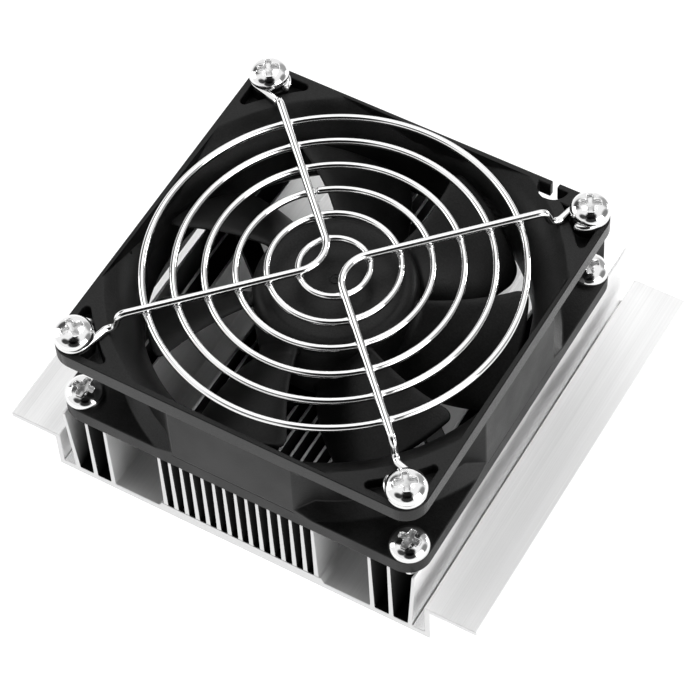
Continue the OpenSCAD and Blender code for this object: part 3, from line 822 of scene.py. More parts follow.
@dataclass
class Heatsink:
    """The extrusion: a thin base with close core fins, wide edge fins, side walls and flanges."""

    base: float = 1.9
    core: float = 3.5
    base_width: float = 96.75
    wall: float = 1.3
    flange: float = 1.4
    flange_top: float = 12.1
    core_fins: int = 15
    core_pitch: float = 2.8
    core_step: float = 21.475
    core_edge: float = 20.675
    edge_fins: int = 3
    edge_fin: float = 43.3
    edge_pitch: float = 4.75
    splay: float = 1.3
    fin_root: float = 1.15
    fin_tip: float = 0.74
    root_fillet: float = 0.35
    tip_round: float = 0.25
    edge_round: float = 0.3
    step_round: float = 0.5
    burr: float = 0.12
    end_inset: float = 1
    rows: int = 41
    cut_slope: float = 0.6
    # Painted shade between the fins: its strength in the wide channels and between close fins, and
    # the depth below the tips where it starts
    channel: float = 0.34
    close_shade: float = 0.93
    unshaded_tip: float = 0.01
    waver: float = 0.07
    waver_length: float = 9
    waver_shift: float = 2.4
    screw_at: tuple[float, float] = (-45.25, 37.25)
    spread_full: float = 9
    spread_end: float = 26

    def fins(self, at: np.ndarray, lean: np.ndarray, foot: float, top: float) -> np.ndarray:
        """Gives the four corners of each fin, from its right foot over its tip to its left foot.

        Args:
            at: each fin's place across the base.
            lean: how far each tip leans over.
            foot: height of the feet.
            top: height of the tips.

        Returns:
            Fins times four by three: place across, height and the radius of the corner.
        """
        root, tip = self.fin_root / 2, self.fin_tip / 2
        across = np.stack([at + root, at + lean + tip, at + lean - tip, at - root], axis=1)
        height = np.array([foot, top, top, foot])
        bend = np.array([self.root_fillet, self.tip_round, self.tip_round, self.root_fillet])
        return points_at(across, height, bend).reshape(-1, 3)

    def outline(self, span: float, top: float) -> np.ndarray:
        """Gives the rounded cross-section, from its right half and that half's mirror image.

        Args:
            span: width over the flanges.
            top: height of the fins.

        Returns:
            Points across and up, all round the section.
        """
        foot, inner = self.base_width / 2, self.base_width / 2 - self.wall
        bend = self.edge_round
        wall = np.array([
            [foot, 0, bend], [foot, self.flange_top - self.flange, bend],
            [span / 2, self.flange_top - self.flange, bend], [span / 2, self.flange_top, bend],
            [inner, self.flange_top, bend], [inner, self.base, self.root_fillet],
        ])
        edge_at = self.edge_fin - self.edge_pitch * np.arange(self.edge_fins)
        edge = self.fins(edge_at, self.splay * (edge_at == self.edge_fin), self.base, top)
        step = np.array([
            [self.core_step, self.base, self.step_round],
            [self.core_edge, self.core, self.step_round],
        ])
        core_at = self.core_pitch * np.arange(self.core_fins // 2, 0, -1)
        core = self.fins(core_at, np.zeros(len(core_at)), self.core, top)
        middle = self.fins(np.zeros(1), np.zeros(1), self.core, top)[:2]
        right = np.concatenate([wall, edge, step, core, middle])
        left = right[::-1] * np.array([-1, 1, 1])
        corners = np.concatenate([right, left])
        return rounded(corners[:, :2], corners[:, 2], closed=True)

    def surface(self) -> Surface:
        """Carries the section along the extrusion.

        The ends are drawn in by the size of the burr that deburring leaves, and the fins waver a
        little: a point moves across by a slow sine of its place along, times its height squared.
        The outermost fins lean out only where the screws spread them: away from the screws the
        lean goes back to nought by a smooth step of the distance along.

        Returns:
            The closed surface.
        """
        low, high = box_mm("heatsink")
        front, back, top = low[1], high[1], high[2] - low[2]
        outline = self.outline(high[0] - low[0], top)
        along = unit(np.roll(outline, -1, axis=0) - np.roll(outline, 1, axis=0))
        inward = points_at(-along[:, 1], along[:, 0])
        at = np.concatenate([
            [front, front + self.burr],
            np.linspace(front + self.end_inset, back - self.end_inset, self.rows),
            [back - self.burr, back],
        ])
        draw = np.where((at == front) | (at == back), self.burr, 0)
        section = outline[None] + draw[:, None, None] * inward[None]
        across, up = section[..., 0], section[..., 1]
        lift = np.clip((up - self.core) / (high[2] - self.core), 0, 1) ** 2
        fin = np.abs(across) < self.edge_fin + self.edge_pitch / 2
        shift = self.waver_shift * np.round(outline[None, :, 0] / self.core_pitch)
        sway = self.waver * np.sin(at[:, None] / self.waver_length + shift)
        moved = across + np.where(fin, sway * lift, 0) - self.upright(section, at, top)
        return Surface(points_at(moved, at[:, None], up), marks={
            "fin_gap": self.narrow(section, at, top), "side_channel": self.beside(section, top),
        })

    def upright(self, section: np.ndarray, at: np.ndarray, top: float) -> np.ndarray:
        """Gives how far the outermost fins stand back up between their screws.

        Args:
            section: places across and up.
            at: places along the extrusion.
            top: height of the fins.

        Returns:
            The way back for each point, towards the side that its fin leans to.
        """
        from_screw = np.min(np.abs(at[:, None] - np.array(self.screw_at)), axis=1)
        eased = smooth_step((from_screw - self.spread_full) / (self.spread_end - self.spread_full))
        off = np.abs(section[..., 0])
        outermost = np.abs(off - self.edge_fin) < self.edge_pitch / 2
        share = np.clip((section[..., 1] - self.base) / (top - self.base), 0, 1)
        return np.sign(section[..., 0]) * self.splay * eased[:, None] * share * outermost

    def beside(self, section: np.ndarray, top: float) -> np.ndarray:
        """Marks the two side channels, where the smoother drawn skin and painted light lift the
        deeper parts.

        Args:
            section: places across and up.
            top: height of the fins.

        Returns:
            One low in the side channels, less up the outermost fins and nought elsewhere.
        """
        off, up = np.abs(section[..., 0]), section[..., 1]
        fin = off < self.edge_fin + self.splay + self.fin_tip
        inner = self.base_width / 2 - self.wall / 2
        wall = (off < inner) & (up < self.flange_top - self.edge_round)
        # Painted light: the mark grows with the depth down the outermost fins
        depth = np.clip((top - up) / (top - self.base), 0, 1)
        return np.where(fin, depth, wall) * ((off > self.edge_fin) & (up > self.base / 2))

    def narrow(self, section: np.ndarray, at: np.ndarray, top: float) -> np.ndarray:
        """Marks the painted shade, over some dust, between the fins.

        Between close fins the painted shade starts right below the tips, which stay unshaded, and
        grows a little with the depth. In the two wide channels it is less, grows evenly with the
        depth and fades along the extrusion, from the front to the back.

        Args:
            section: places across and up.
            at: places along the extrusion.
            top: height of the fins.

        Returns:
            One at the foot of close fins, less in the two wide channels and nought elsewhere.
        """
        off = np.abs(section[..., 0])
        core = off < self.core_pitch * (self.core_fins // 2)
        edge = off > self.edge_fin - (self.edge_fins - 1) * self.edge_pitch
        between = (off < self.edge_fin) & (section[..., 1] > self.base / 2)
        depth = np.clip((top - section[..., 1]) / (top - self.core), 0, 1)
        close = np.maximum(depth, self.close_shade * (depth > self.unshaded_tip))
        # The wide channels get more painted shade towards the front
        front = smooth_step((at[-1] - at) / (at[-1] - at[0]))[:, None]
        wide = self.channel * front * depth
        return np.where(core | edge, close, wide) * between

    def build(self) -> None:
        """Makes the extrusion and marks its two sawn ends."""
        piece = make_piece("heatsink_extrusion", [self.surface()])
        normals = np.empty(len(piece.data.polygons) * 3, dtype=np.float32)
        piece.data.polygons.foreach_get("normal", normals)
        cut = (np.abs(normals.reshape(-1, 3)[:, 1]) > self.cut_slope).astype(np.float32)
        piece.data.attributes.new("cut_end", "FLOAT", "FACE").data.foreach_set("value", cut)
        settle(piece, ALUMINIUM, "housing", "heatsink")


@dataclass
class FanFrame:
    """The moulded frame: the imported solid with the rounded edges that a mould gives."""

    edge_round: float = 0.3
    edge_steps: int = 3
    edge_angle: float = 32
    flat_angle: float = 0.2
    sharp: float = 180

    def build(self, source: bpy.types.Object) -> None:
        """Merges a copy of the frame's mesh, joins its flat faces and rounds its edges.

        Args:
            source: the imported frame.
        """
        shape = bmesh.new()
        shape.from_mesh(source.data)
        bmesh.ops.remove_doubles(shape, verts=shape.verts, dist=WELD * MM)
        bmesh.ops.dissolve_limit(
            shape, angle_limit=math.radians(self.flat_angle), verts=shape.verts, edges=shape.edges
        )
        mesh = bpy.data.meshes.new("frame_moulding")
        shape.to_mesh(mesh)
        shape.free()
        mesh.materials.clear()
        piece = place_object("frame_moulding", mesh, self.sharp)
        edges = piece.modifiers.new("mould_edges", "BEVEL")
        edges.width = self.edge_round * MM
        edges.segments = self.edge_steps
        edges.limit_method = "ANGLE"
        edges.angle_limit = math.radians(self.edge_angle)
        edges.use_clamp_overlap = False
        piece.modifiers.move(1, 0)
        settle(piece, FRAME_PLASTIC, "housing", "fan_frame")


@dataclass
class Impeller:
    """The moulded hub and its blades, in the fan's own heights above the frame's underside."""

    blades: int = 7
    hub: float = 18.5
    hub_wall: float = 1.6
    hub_plate: float = 2
    hub_foot: float = 5.8
    hub_round: float = 3.2
    hub_sides: int = 160
    foot_round: float = 0.4
    inner_round: float = 0.3
    root_round: float = 0.6
    round_steps: int = 9
    boss: float = 3.4
    boss_foot: float = 17.6
    bore: float = 1.5
    bore_top: float = 22.6
    bore_round: float = 0.2
    gate: float = 0.45
    gate_depth: float = 0.2
    gate_slope: float = 0.1
    gate_ring: float = 0.95
    ring_half: float = 0.25
    gate_round: float = 0.12
    gate_foot_round: float = 0.15
    tip: float = 42.4
    thick: float = 1.5
    wrap: tuple[float, float] = (41, 35)
    sweep: float = 12.7
    turn: float = 16.5
    lead: tuple[float, float] = (21.4, 20.0)
    trail: tuple[float, float] = (6.2, 7.4)
    camber: float = 0.3
    corner: float = 3.2
    slant: float = 1.25
    fillet: float = 1.8
    fillet_side: float = 0.9
    fillet_sunk: float = 1.3
    edge_power: int = 8
    root_rows: tuple[float, float, int] = (0, 0.12, 10)
    span_rows: tuple[float, float, int] = (0.15, 0.8, 22)
    tip_share: float = 0.18
    tip_rows: int = 22
    around: int = 96
    step: float = 0.002

    def hub_surface(self, centre: np.ndarray, top: float) -> Surface:
        """Turns the hub's wall section, from the gate mark over the rim to the bore's end.

        Args:
            centre: the foot of the fan's axis.
            top: height of the hub's top.

        Returns:
            The closed surface.
        """
        inside, ceiling = self.hub - self.hub_wall, top - self.hub_plate
        gate, ring, half = self.gate, self.gate_ring, self.ring_half
        sunk, bend = top - self.gate_depth, self.gate_round
        section = np.array([
            [0, sunk, 0], [gate, sunk, self.gate_foot_round], [gate + self.gate_slope, top, bend],
            [ring, top, bend], [ring + half, sunk, bend], [ring + 2 * half, top, bend],
            [self.hub, top, self.hub_round], [self.hub, self.hub_foot, self.foot_round],
            [inside, self.hub_foot, self.inner_round], [inside, ceiling, self.root_round],
            [self.boss, ceiling, self.root_round], [self.boss, self.boss_foot, self.inner_round],
            [self.bore, self.boss_foot, self.bore_round],
            [self.bore, self.bore_top, self.bore_round], [0, self.bore_top, 0],
        ])
        profile = rounded(section[:, :2], section[:, 2], steps=self.round_steps)
        return Surface(turned(profile, centre, self.hub_sides), caps=False)

    def middle(self, share: np.ndarray, chord: np.ndarray) -> np.ndarray:
        """Gives the blade's middle surface.

        The radius grows evenly from hub to tip. The angle is the sweep times the span's share, less
        the chord's share of the wrap. The height falls from the leading to the trailing edge, by a
        straight part and a squared part.

        Args:
            share: place from hub, nought, to tip, one.
            chord: place from the leading edge, nought, to the trailing edge, one.

        Returns:
            Points about the fan's axis.
        """
        radius = blend(self.hub - self.hub_wall / 2, self.tip, share)
        angle = np.radians(self.sweep * share - chord * blend(*self.wrap, share))
        lead, trail = blend(*self.lead, share), blend(*self.trail, share)
        fall = chord * (1 - self.camber) + self.camber * chord**2
        height = lead - (lead - trail) * fall
        return points_at(radius * np.cos(angle), radius * np.sin(angle), height)

    def blade_surface(self, centre: np.ndarray, turn: float) -> Surface:
        """Wraps a section round the middle surface.

        The section runs once round the chord. Its half thickness is level over the chord and
        falls to nought at both edges as the root of one less the eighth power of the place from
        the middle. It grows to a fillet at the hub and closes in a quarter round at the tip,
        where the chord is drawn in by the two corners' arcs.

        Args:
            centre: the foot of the fan's axis.
            turn: the blade's angle about the axis, in degrees.

        Returns:
            The closed surface.
        """
        root = self.hub - self.hub_wall / 2
        share = np.concatenate([
            np.linspace(*self.root_rows), np.linspace(*self.span_rows),
            1 - self.tip_share * np.linspace(1, 0, self.tip_rows) ** 2,
        ])[:, None]
        from_tip = (self.tip - root) * (1 - share)
        arc = np.sqrt(np.maximum(self.corner**2 - (self.corner - from_tip) ** 2, 0))
        drawn = np.where(from_tip < self.corner, self.corner - arc, 0)
        radius = blend(root, self.tip, share)
        chord_mm = radius * np.radians(blend(*self.wrap, share))
        about = full_turn(self.around)[None]
        place = -np.cos(about)
        chord = 0.5 + place * (0.5 - drawn / (self.slant * chord_mm))
        edge = np.sqrt(np.maximum(1 - place**self.edge_power, 0))
        rim = self.thick / 2
        close = np.sqrt(np.maximum(1 - np.clip(1 - from_tip / rim, 0, 1) ** 2, 0))
        into_fillet = np.clip(1 - (radius - self.hub) / self.fillet, 0, self.fillet_sunk)
        half = rim * edge * close + self.fillet_side * into_fillet**2 * edge
        over = self.middle(share, chord + self.step) - self.middle(share, chord - self.step)
        out = self.middle(share + self.step, chord) - self.middle(share - self.step, chord)
        side = (np.sign(np.sin(about)) * half)[..., None] * unit(np.cross(over, out))
        return Surface(centre + spin_z(self.middle(share, chord) + side, turn))

    def build(self) -> None:
        """Makes the hub with its blades as one moulding."""
        centre = np.array([*fan_axis(), box_mm("fan_frame")[0][2]])
        top = box_mm("impeller")[1][2] - centre[2]
        turns = self.turn + np.arange(self.blades) * 360 / self.blades
        blades = [self.blade_surface(centre, float(turn)) for turn in turns]
        piece = make_piece("impeller_moulding", [self.hub_surface(centre, top), *blades])
        settle(piece, IMPELLER_PLASTIC, "rotor", "impeller")


@dataclass
class WireGuard:
    """The finger guard: six welded rings under two bent spokes that end in eyelets."""

    rings: int = 6
    spoke: float = 1.8
    sides: int = 24
    sharp: float = 60
    rows_per_mm: int = 16
    bend: float = 7.5
    bend_points: int = 24
    straight_points: int = 60
    drop_bend: float = 1.9
    drop_angle: float = 70
    drop_start: float = 46.62
    drop_end: float = 50.736
    drop_points: int = 12
    veer_bend: float = 2
    veer_points: int = 10
    lead_in: float = 7.6
    eyelet: float = 3.55
    eyelet_points: int = 70
    sweep: float = 270
    flare: float = 1.3
    end_taper: float = 0.75
    end_dull: float = 0.7
    weld: float = 0.22
    weld_length: float = 1
    weld_dull: float = 0.55
    joint: float = 0.3
    joint_half: float = 0.18
    joint_dull: float = 0.8
    joints: dict[int, float] = field(default_factory=lambda: {2: 25.6, 3: 130.7})

    def ring_surface(self, number: int) -> Surface:
        """Carries a circle round a ring.

        The wire swells at its four welds and narrows where its ends were butted: each is a bell
        curve of the distance along the ring.

        Args:
            number: the ring's number from the middle.

        Returns:
            The closed surface, with its welds marked as dull.
        """
        low, high = box_mm(f"guard_ring_{number}")
        wire = high[2] - low[2]
        centre, radius = (low + high) / 2, (high[0] - low[0] - wire) / 2
        angle = full_turn(int(radius * self.rows_per_mm))
        path = centre + radius * points_at(np.cos(angle), np.sin(angle), 0)
        quarter = np.pi / 2
        off_spoke = radius * np.abs((angle % quarter) - quarter / 2)
        swell = np.exp(-((off_spoke / self.weld_length) ** 2))
        turn = np.radians(self.joints.get(number, 0))
        butt = radius * np.abs((angle - turn + np.pi) % (2 * np.pi) - np.pi)
        notch = (number in self.joints) * np.exp(-((butt / self.joint_half) ** 2))
        thick = wire / 2 + self.weld * swell - self.joint * notch
        points = tube(path, thick, self.sides, closed=True)
        # A swollen weld stays inside the ring's own height
        points[..., 2] = centre[2] + np.clip(points[..., 2] - centre[2], -wire / 2, wire / 2)
        dull = np.clip(self.weld_dull * swell + self.joint_dull * notch, 0, 1)
        all_round = np.broadcast_to(dull[:, None], points.shape[:2])
        return Surface(points, loop=True, marks={"dull": all_round})

    def leg(self, reach: float, foot: float) -> np.ndarray:
        """Gives the middle of one leg, from the bend at the guard's middle to the eyelet's end.

        The leg runs straight, bends down through two arcs onto the frame, veers to one side and
        winds round its screw. The eyelet's end stands away from the screw by the flare.

        Args:
            reach: distance of the screw from the fan's axis.
            foot: height of the leg's foot below its straight part.

        Returns:
            Points along the leg, for a leg along x with the straight part at height nought.
        """
        drop = math.radians(self.drop_angle)
        wide, narrow = self.eyelet + self.veer_bend, math.hypot(self.lead_in, self.veer_bend)
        veer = math.asin(wide / narrow) - math.atan2(self.veer_bend, self.lead_in)
        straight = np.linspace(self.bend, self.drop_start, self.straight_points)
        down = np.linspace(np.pi / 2, np.pi / 2 - drop, self.drop_points)
        level = np.linspace(1.5 * np.pi - drop, 1.5 * np.pi, self.drop_points)
        aside = np.linspace(-np.pi / 2, -np.pi / 2 + veer, self.veer_points)
        wind = np.pi / 2 + veer - np.radians(np.linspace(0, self.sweep, self.eyelet_points))
        # The eyelet flares over the last of its four quarters
        quarters = np.linspace(0, 1, self.eyelet_points) * 4
        away = self.eyelet + self.flare * smooth_step(quarters - 3)
        fall, bow = self.drop_bend, self.veer_bend
        return np.concatenate([
            points_at(straight, 0, 0),
            points_at(self.drop_start + fall * np.cos(down), 0, fall * (np.sin(down) - 1))[1:],
            points_at(self.drop_end + fall * np.cos(level), 0, fall * (1 + np.sin(level)) - foot),
            points_at(self.drop_end + bow * np.cos(aside), bow * (1 + np.sin(aside)), -foot)[1:],
            points_at(reach + away * np.cos(wind), away * np.sin(wind), -foot),
        ])

    def spoke_surface(self, node: str, turn: float) -> Surface:
        """Carries a circle along a spoke: one leg inwards, the middle bend, the other leg outwards.

        Args:
            node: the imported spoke.
            turn: the direction that the spoke's two legs lie about, in degrees.

        Returns:
            The closed surface, with its cut ends marked as dull.
        """
        low, high = box_mm(node)
        screw_low, screw_high = box_mm(ScrewRow.UPPER.value)
        corner = (screw_high - screw_low)[0] / 2 - Screws.head
        leg = self.leg(math.hypot(corner, corner), high[2] - low[2] - self.spoke)
        arc = np.radians(np.linspace(225, 135, self.bend_points))
        bend = self.bend * points_at(math.sqrt(2) + np.cos(arc), np.sin(arc), 0)
        path = np.concatenate([spin_z(leg, -45)[::-1], bend[1:-1], spin_z(leg, 45)])
        path = spin_z(path, turn) + np.array([*fan_axis(), high[2] - self.spoke / 2])
        from_end = np.minimum(np.arange(len(path)), np.arange(len(path))[::-1])
        radius = self.spoke / 2 * np.where(from_end == 0, self.end_taper, 1.0)
        points = tube(path, radius, self.sides)
        dull = np.where(from_end < 2, self.end_dull, 0.0)
        return Surface(points, marks={"dull": np.broadcast_to(dull[:, None], points.shape[:2])})

    def build(self) -> None:
        """Makes the rings and the two spokes."""
        for number in range(1, self.rings + 1):
            surface = self.ring_surface(number)
            ring = make_piece(f"guard_wire_ring_{number}", [surface], self.sharp)
            settle(ring, CHROMED_WIRE, "housing", f"guard_ring_{number}")
        for side, turn in (("left", 180.0), ("right", 0.0)):
            node = f"guard_spoke_{side}"
            surface = self.spoke_surface(node, turn)
            spoke = make_piece(f"guard_wire_spoke_{side}", [surface], self.sharp)
            settle(spoke, CHROMED_WIRE, "housing", node)


@dataclass
class Screws:
    """Eight pan head thread forming screws with a cross recess, each turned as it was left."""

    head: float = 4.6
    head_height: float = 3.1
    rim: float = 0.45
    rim_round: float = 0.25
    crown: float = 2.05
    grid: int = 121
    sharp: float = 50
    shank: float = 2.4
    core: float = 1.9
    length: float = 10
    point: float = 1.8
    point_end: float = 0.66
    pitch: float = 1.6
    crest: float = 1.25
    crest_slope: float = 5
    sunk: float = 0.6
    thread_rows: int = 130
    thread_sides: int = 40
    arm: float = 2.5
    arm_half: float = 0.76
    recess: float = 1.75
    recess_end: float = 0.8
    recess_wall: float = 0.32
    recess_dull: float = 0.85
    arm_round: float = 0.4
    arm_blend: float = 0.7
    lip: float = 0.05
    lip_at: float = 0.12
    lip_half: float = 0.16
    lip_start: float = -0.1
    turns: dict[ScrewRow, tuple[float, float, float, float]] = field(
        default_factory=lambda: {ScrewRow.UPPER: (57, 35, 30, 35), ScrewRow.LOWER: (3, 0, 40, 20)}
    )

    def bar(self, across: np.ndarray, along: np.ndarray) -> np.ndarray:
        """Gives the distance from the edge of a bar with rounded corners, less than nought inside.

        Args:
            across: place across the bar.
            along: place along it.

        Returns:
            The distance at each place.
        """
        wide = np.abs(across) - self.arm_half + self.arm_round
        long = np.abs(along) - self.arm + self.arm_round
        outside = np.hypot(np.maximum(wide, 0), np.maximum(long, 0))
        return outside + np.minimum(np.maximum(wide, long), 0) - self.arm_round

    def head_surfaces(self) -> list[Surface]:
        """Gives the head: a square grid drawn out to a disc for its top, and a turned rim.

        A grid point (u, v) goes to (u root(1 - v v / 2), v root(1 - u u / 2)) times the head's
        radius. Its height is a rounded pan's, the root of one less the radius's share to the
        power of the crown, less the cross: the cross is the nearer of two bars, blended where
        they meet, its floor rises from the middle to the arms' ends, its walls slope, and a worn
        lip stands round it.

        Returns:
            The top and the rim, about the origin with the head's underside at nought.
        """
        share = np.sin(np.linspace(-np.pi / 2, np.pi / 2, self.grid))
        across, along = np.meshgrid(share, share, indexing="ij")
        x = self.head * across * np.sqrt(1 - along**2 / 2)
        y = self.head * along * np.sqrt(1 - across**2 / 2)
        radius = np.hypot(x, y)
        fall = np.maximum(1 - (radius / self.head) ** self.crown, 0) ** (1 / self.crown)
        dome = blend(self.rim, self.head_height, fall)
        first, second = self.bar(x, y), self.bar(y, x)
        share = np.clip(0.5 + (second - first) / (2 * self.arm_blend), 0, 1)
        out = blend(second, first, share) - self.arm_blend * share * (1 - share)
        inside = smooth_step(-out / self.recess_wall)
        floor = blend(self.recess, self.recess_end, np.clip(radius / self.arm, 0, 1))
        worn = np.exp(-(((out - self.lip_at) / self.lip_half) ** 2)) * (out > self.lip_start)
        top = points_at(x, y, dome - floor * inside + self.lip * worn)
        edge = np.concatenate([top[:-1, 0], top[-1, :-1], top[:0:-1, -1], top[0, :0:-1]])
        heading = np.arctan2(edge[:, 1], edge[:, 0])
        corners = np.array([[self.head, self.rim], [self.head, 0], [0, 0]])
        section = rounded(corners, np.array([0, self.rim_round, 0]))
        wide, up = section[:, :1], section[:, 1:]
        rim = points_at(wide * np.cos(heading), wide * np.sin(heading), up)
        marks = {"dull": self.recess_dull * inside * (1 - worn)}
        return [Surface(top, wrap=False, marks=marks), Surface(rim, caps=False)]

    def shank_surface(self) -> Surface:
        """Gives the thread: the radius swings between core and crest with the height less the turn.

        Returns:
            The closed surface, with its top inside the head.
        """
        height = np.linspace(self.sunk, -self.length, self.thread_rows)[:, None]
        angle = full_turn(self.thread_sides)[None]
        phase = (height / self.pitch - angle / (2 * np.pi)) % 1
        crest = np.clip(self.crest - self.crest_slope * np.abs(phase - 0.5), 0, 1)
        taper = np.clip((height + self.length) / self.point, 0, 1)
        radius = blend(self.core, self.shank, crest * taper) * blend(self.point_end, 1, taper)
        return Surface(points_at(radius * np.cos(angle), radius * np.sin(angle), height))

    def build(self) -> None:
        """Makes each screw as a head and a shank at its corner, turned as it was left."""
        axis = fan_axis()
        for row in ScrewRow:
            low, high = box_mm(row.value)
            reach = (high - low)[0] / 2 - self.head
            for corner, turn in zip(Corner, self.turns[row]):
                across = axis + reach * np.array(corner.value)
                foot = np.array([*across, high[2] - self.head_height])
                surfaces = [*self.head_surfaces(), self.shank_surface()]
                for surface in surfaces:
                    surface.points = spin_z(surface.points, turn) + foot
                name = f"{row.name.lower()}_screw_{corner.name.lower()}"
                settle(make_piece(name, surfaces, self.sharp), NICKEL_SCREW, "housing", row.value)


@dataclass
class Motor:
    """The motor's pieces inside the hub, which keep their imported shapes."""

    finishes: tuple[tuple[str, MotorMaterial], ...] = (
        # Drawing leaves upright streaks on the grey cup
        ("rotor_yoke", MotorMaterial(
            "steel_deep_drawn", "rotor_steel", "#8A8A8C", "#A6A6A8", 0.3, (1, 1, 0.1), 0.38, 1
        )),
        # Ferrite powder in a binder: near black and dull
        ("magnet_ring", MotorMaterial(
            "ferrite_bonded_moulded", "magnet", "#232325", "#343436", 0.25, rough=0.6
        )),
        # Ground steel: the brightest metal inside, with fine marks round it
        ("shaft", MotorMaterial(
            "steel_centreless_ground", "shaft_steel", "#B9B9BB", "#D8D8DA", 0.2,
            (0.1, 0.1, 1), 0.16, 1,
        )),
        # Natural nylon: milky and slightly yellow
        ("retaining_clip thrust_washer oil_ring", MotorMaterial(
            "nylon_stamped", "washer_plastic", "#D6D2C4", "#E8E5DA", 0.4, rough=0.5
        )),
        # Pressed powder: brown gold grains with oil in the pores
        ("sleeve_bearing", MotorMaterial(
            "bronze_sintered", "bearing_bronze", "#8A6A3C", "#B08A52", 0.15, rough=0.5, metal=1
        )),
        # Black acetal: plain and dull
        ("bearing_cap", MotorMaterial(
            "acetal_moulded", "cap_plastic", "#1C1C1E", "#2C2C2E", 0.3, rough=0.5
        )),
        # Stacked sheets show as level lines
        ("stator_core", MotorMaterial(
            "silicon_steel_stacked", "lamination_steel", "#5E6063", "#8B8D90", 0.5,
            (0.05, 0.05, 1), 0.45, 1,
        )),
        # Glass fibres cloud the natural nylon
        ("lower_insulator upper_insulator", MotorMaterial(
            "glass_filled_nylon_moulded", "insulator_plastic", "#C9C6BA", "#DEDBD0", 0.5, rough=0.55
        )),
        # Turns of enamelled wire show as level copper lines
        ("coil_windings", MotorMaterial(
            "copper_wire_enamelled", "copper_wire", "#7C3714", "#C8743A", 0.3, (0.1, 0.1, 1), 0.3, 1
        )),
        # Tin over brass: pale, with drawn streaks
        ("terminal_pins", MotorMaterial(
            "brass_tinned", "pin_brass", "#B7A27A", "#D6C8A6", 0.3, (1, 1, 0.2), 0.3, 1
        )),
        # Green laminate, with the weave's threads one way
        ("circuit_board", MotorMaterial(
            "glass_epoxy_laminated", "board_laminate", "#1F4A2B", "#2F6B3F", 0.5, (1, 0.3, 1), 0.4
        )),
        # Black epoxy, dull from the mould
        ("hall_sensor driver_chip", MotorMaterial(
            "epoxy_transfer_moulded", "chip_epoxy", "#19191A", "#2A2A2B", 0.2, rough=0.6
        )),
        # Fired ceramic: tan and even
        ("filter_capacitor", MotorMaterial(
            "ceramic_fired", "capacitor_body", "#A88B5E", "#BFA176", 0.3, rough=0.5
        )),
    )

    def dress(self, nodes: dict[str, bpy.types.Object]) -> None:
        """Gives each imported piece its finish.

        Args:
            nodes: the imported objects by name.
        """
        for names, finish in self.finishes:
            for name in names.split():
                nodes[name].data.materials.clear()
                nodes[name].data.materials.append(finish.material())
                LOG.info("%s: packed shape in %s", name, finish.name)


@dataclass(frozen=True)
class SoftLight:
    """A square softbox, aimed at the fan.

    Attributes:
        name: the light's name.
        side: direction round the object in degrees, nought at the front and 90 at the right.
        height: elevation in degrees.
        distance: distance from the fan in metres.
        size: its side in metres.
        power: its power in watts.
    """

    name: str
    side: float
    height: float
    distance: float
    size: float
    power: float


@dataclass(frozen=True)
class DarkZone:
    """A dark part of the studio, such as the camera, that bright metal mirrors.

    Attributes:
        side: direction round the object in degrees, nought at the front and 90 at the right.
        height: elevation in degrees.
        core: half angle of the dark middle in degrees.
        edge: half angle where the zone ends.
        depth: share of the light that its middle takes away.
    """

    side: float
    height: float
    core: float
    edge: float
    depth: float


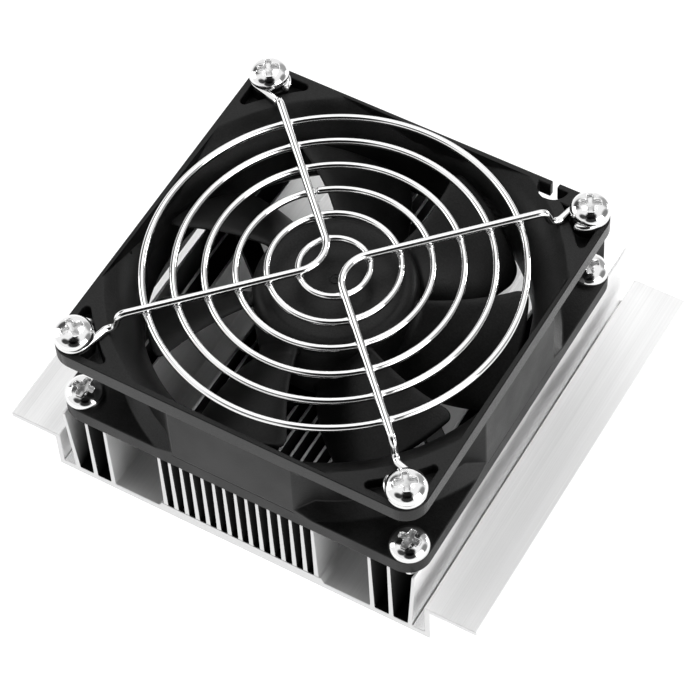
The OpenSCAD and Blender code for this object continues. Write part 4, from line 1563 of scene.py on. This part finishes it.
@dataclass
class Studio:
    """A pale floor, soft light from all sides and the camera at the photograph's angle."""

    aim: tuple[float, float, float] = (12.7, -19.4, 47.5)
    camera_side: float = 33.37
    camera_height: float = 54.83
    camera_distance: float = 674.9
    camera_roll: float = 4.13
    camera_view: float = 12.718
    camera_clip: tuple[float, float] = (0.01, 50)
    lamp_aim: float = 30
    floor_half: float = 4000
    floor_drop: float = 0.2
    floor_tone: str = "#8C8C8C"
    floor_rough: float = 0.9
    floor_glow: float = 0.92
    sky_rise: tuple[float, float] = (0.2, 0.8)
    sky_low: float = 1.01
    sky_high: float = 1.06
    zones: tuple[DarkZone, ...] = (
        DarkZone(33.4, 61, 18, 26, 0.99),
        DarkZone(33.4, 32, 22, 32, 0.97),
        DarkZone(-20, 44, 12, 22, 0.95),
        DarkZone(-105, 35, 14, 28, 0.92),
        DarkZone(116, 22, 14, 27, 0.75),
        DarkZone(165, 18, 12, 26, 0.6),
    )
    lights: tuple[SoftLight, ...] = (
        SoftLight("top_softbox", 205, 62, 1.0, 0.9, 1.45),
        SoftLight("right_softbox", 82, 21, 1.0, 0.6, 4.4),
        SoftLight("back_softbox", 150, 5, 1.0, 0.2, 2.2),
        SoftLight("left_softbox", -80, 20, 1.0, 0.5, 1.6),
    )

    @staticmethod
    def direction(side: float, height: float) -> Vector:
        """Works out a direction from the fan.

        Args:
            side: direction round the object in degrees, nought at the front and 90 at the right.
            height: elevation in degrees.

        Returns:
            The unit vector that way.
        """
        turn, rise = math.radians(side), math.radians(height)
        level = math.cos(rise)
        return Vector((math.sin(turn) * level, -math.cos(turn) * level, math.sin(rise)))

    @staticmethod
    def facing(away: Vector) -> Matrix:
        """Gives the turn of a camera or lamp that looks back along a direction."""
        return away.to_track_quat("Z", "Y").to_matrix().to_4x4()

    def place_camera(self) -> None:
        """Makes the camera: it looks at the aim, rolled a little, with a square view."""
        lens = bpy.data.cameras.new("photo_camera")
        lens.sensor_fit = "HORIZONTAL"
        lens.angle = math.radians(self.camera_view)
        lens.clip_start, lens.clip_end = self.camera_clip
        camera = add_object("photo_camera", lens)
        away = self.direction(self.camera_side, self.camera_height)
        turn = self.facing(away) @ Matrix.Rotation(-math.radians(self.camera_roll), 4, "Z")
        place = (Vector(self.aim) + away * self.camera_distance) * MM
        camera.matrix_world = Matrix.Translation(place) @ turn
        bpy.context.scene.camera = camera

    def place_lights(self) -> None:
        """Makes the sky, brighter overhead and dimmed in its dark zones, and the softboxes."""
        world = bpy.data.worlds.new("studio_sky")
        world.use_nodes = True
        tree = world.node_tree
        add = partial(add_node, tree)
        ray = add("ShaderNodeTexCoord", {}, "Generated")
        rise = add("ShaderNodeSeparateXYZ", {0: ray}, "Z")
        glow = add(
            "ShaderNodeMapRange",
            {
                "Value": rise, "From Min": self.sky_rise[0], "From Max": self.sky_rise[1],
                "To Min": self.sky_low, "To Max": self.sky_high,
            },
        )
        for zone in self.zones:
            towards = self.direction(zone.side, zone.height)
            near = add(
                "ShaderNodeVectorMath", {0: ray, 1: towards}, "Value", operation="DOT_PRODUCT"
            )
            kept = add(
                "ShaderNodeMapRange",
                {
                    "Value": near, "From Min": math.cos(math.radians(zone.edge)),
                    "From Max": math.cos(math.radians(zone.core)),
                    "To Min": 1.0, "To Max": 1 - zone.depth,
                },
                interpolation_type="SMOOTHSTEP",
            )
            glow = add("ShaderNodeMath", {0: glow, 1: kept}, operation="MULTIPLY")
        seen = add("ShaderNodeLightPath", {}, "Is Camera Ray")
        strength = add("ShaderNodeMix", {0: seen, 2: glow, 3: 1.0}, 0)
        plug(tree, tree.nodes["Background"], {"Color": (1, 1, 1, 1), "Strength": strength})
        bpy.context.scene.world = world
        for softbox in self.lights:
            light = bpy.data.lights.new(softbox.name, "AREA")
            light.size = softbox.size
            light.energy = softbox.power
            towards = self.direction(softbox.side, softbox.height)
            place = towards * softbox.distance + Vector((0, 0, self.lamp_aim * MM))
            lamp = add_object(softbox.name, light)
            lamp.matrix_world = Matrix.Translation(place) @ self.facing(towards)

    def lay_floor(self) -> None:
        """Lays a pale floor under the heatsink."""
        floor = bpy.data.meshes.new("studio_floor")
        half, down = self.floor_half * MM, -self.floor_drop * MM
        corners = [(x * half, y * half, down) for x, y in (corner.value for corner in Corner)]
        floor.from_pydata(corners, [], [(0, 1, 2, 3)])
        ground = add_object("studio_floor", floor)
        pale = bpy.data.materials.new("studio_floor_white")
        pale.use_nodes = True
        shader = pale.node_tree.nodes["Principled BSDF"]
        plug(pale.node_tree, shader, {
            "Base Color": linear(self.floor_tone), "Roughness": self.floor_rough,
            "Emission Color": (1, 1, 1, 1), "Emission Strength": self.floor_glow,
        })
        floor.materials.append(pale)

    def build(self) -> None:
        """Sets up the camera, the light and the floor."""
        self.place_camera()
        self.place_lights()
        self.lay_floor()
        view = bpy.context.scene.view_settings
        view.view_transform = "Standard"


def main() -> None:
    """Builds the studio and every sub-assembly in order."""
    logging.basicConfig(level=logging.INFO, format="%(message)s")
    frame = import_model()
    Studio().build()
    Heatsink().build()
    FanFrame().build(frame["nodes"]["fan_frame"])
    Impeller().build()
    WireGuard().build()
    Screws().build()
    Motor().dress(frame["nodes"])


if __name__ == "__main__":
    main()
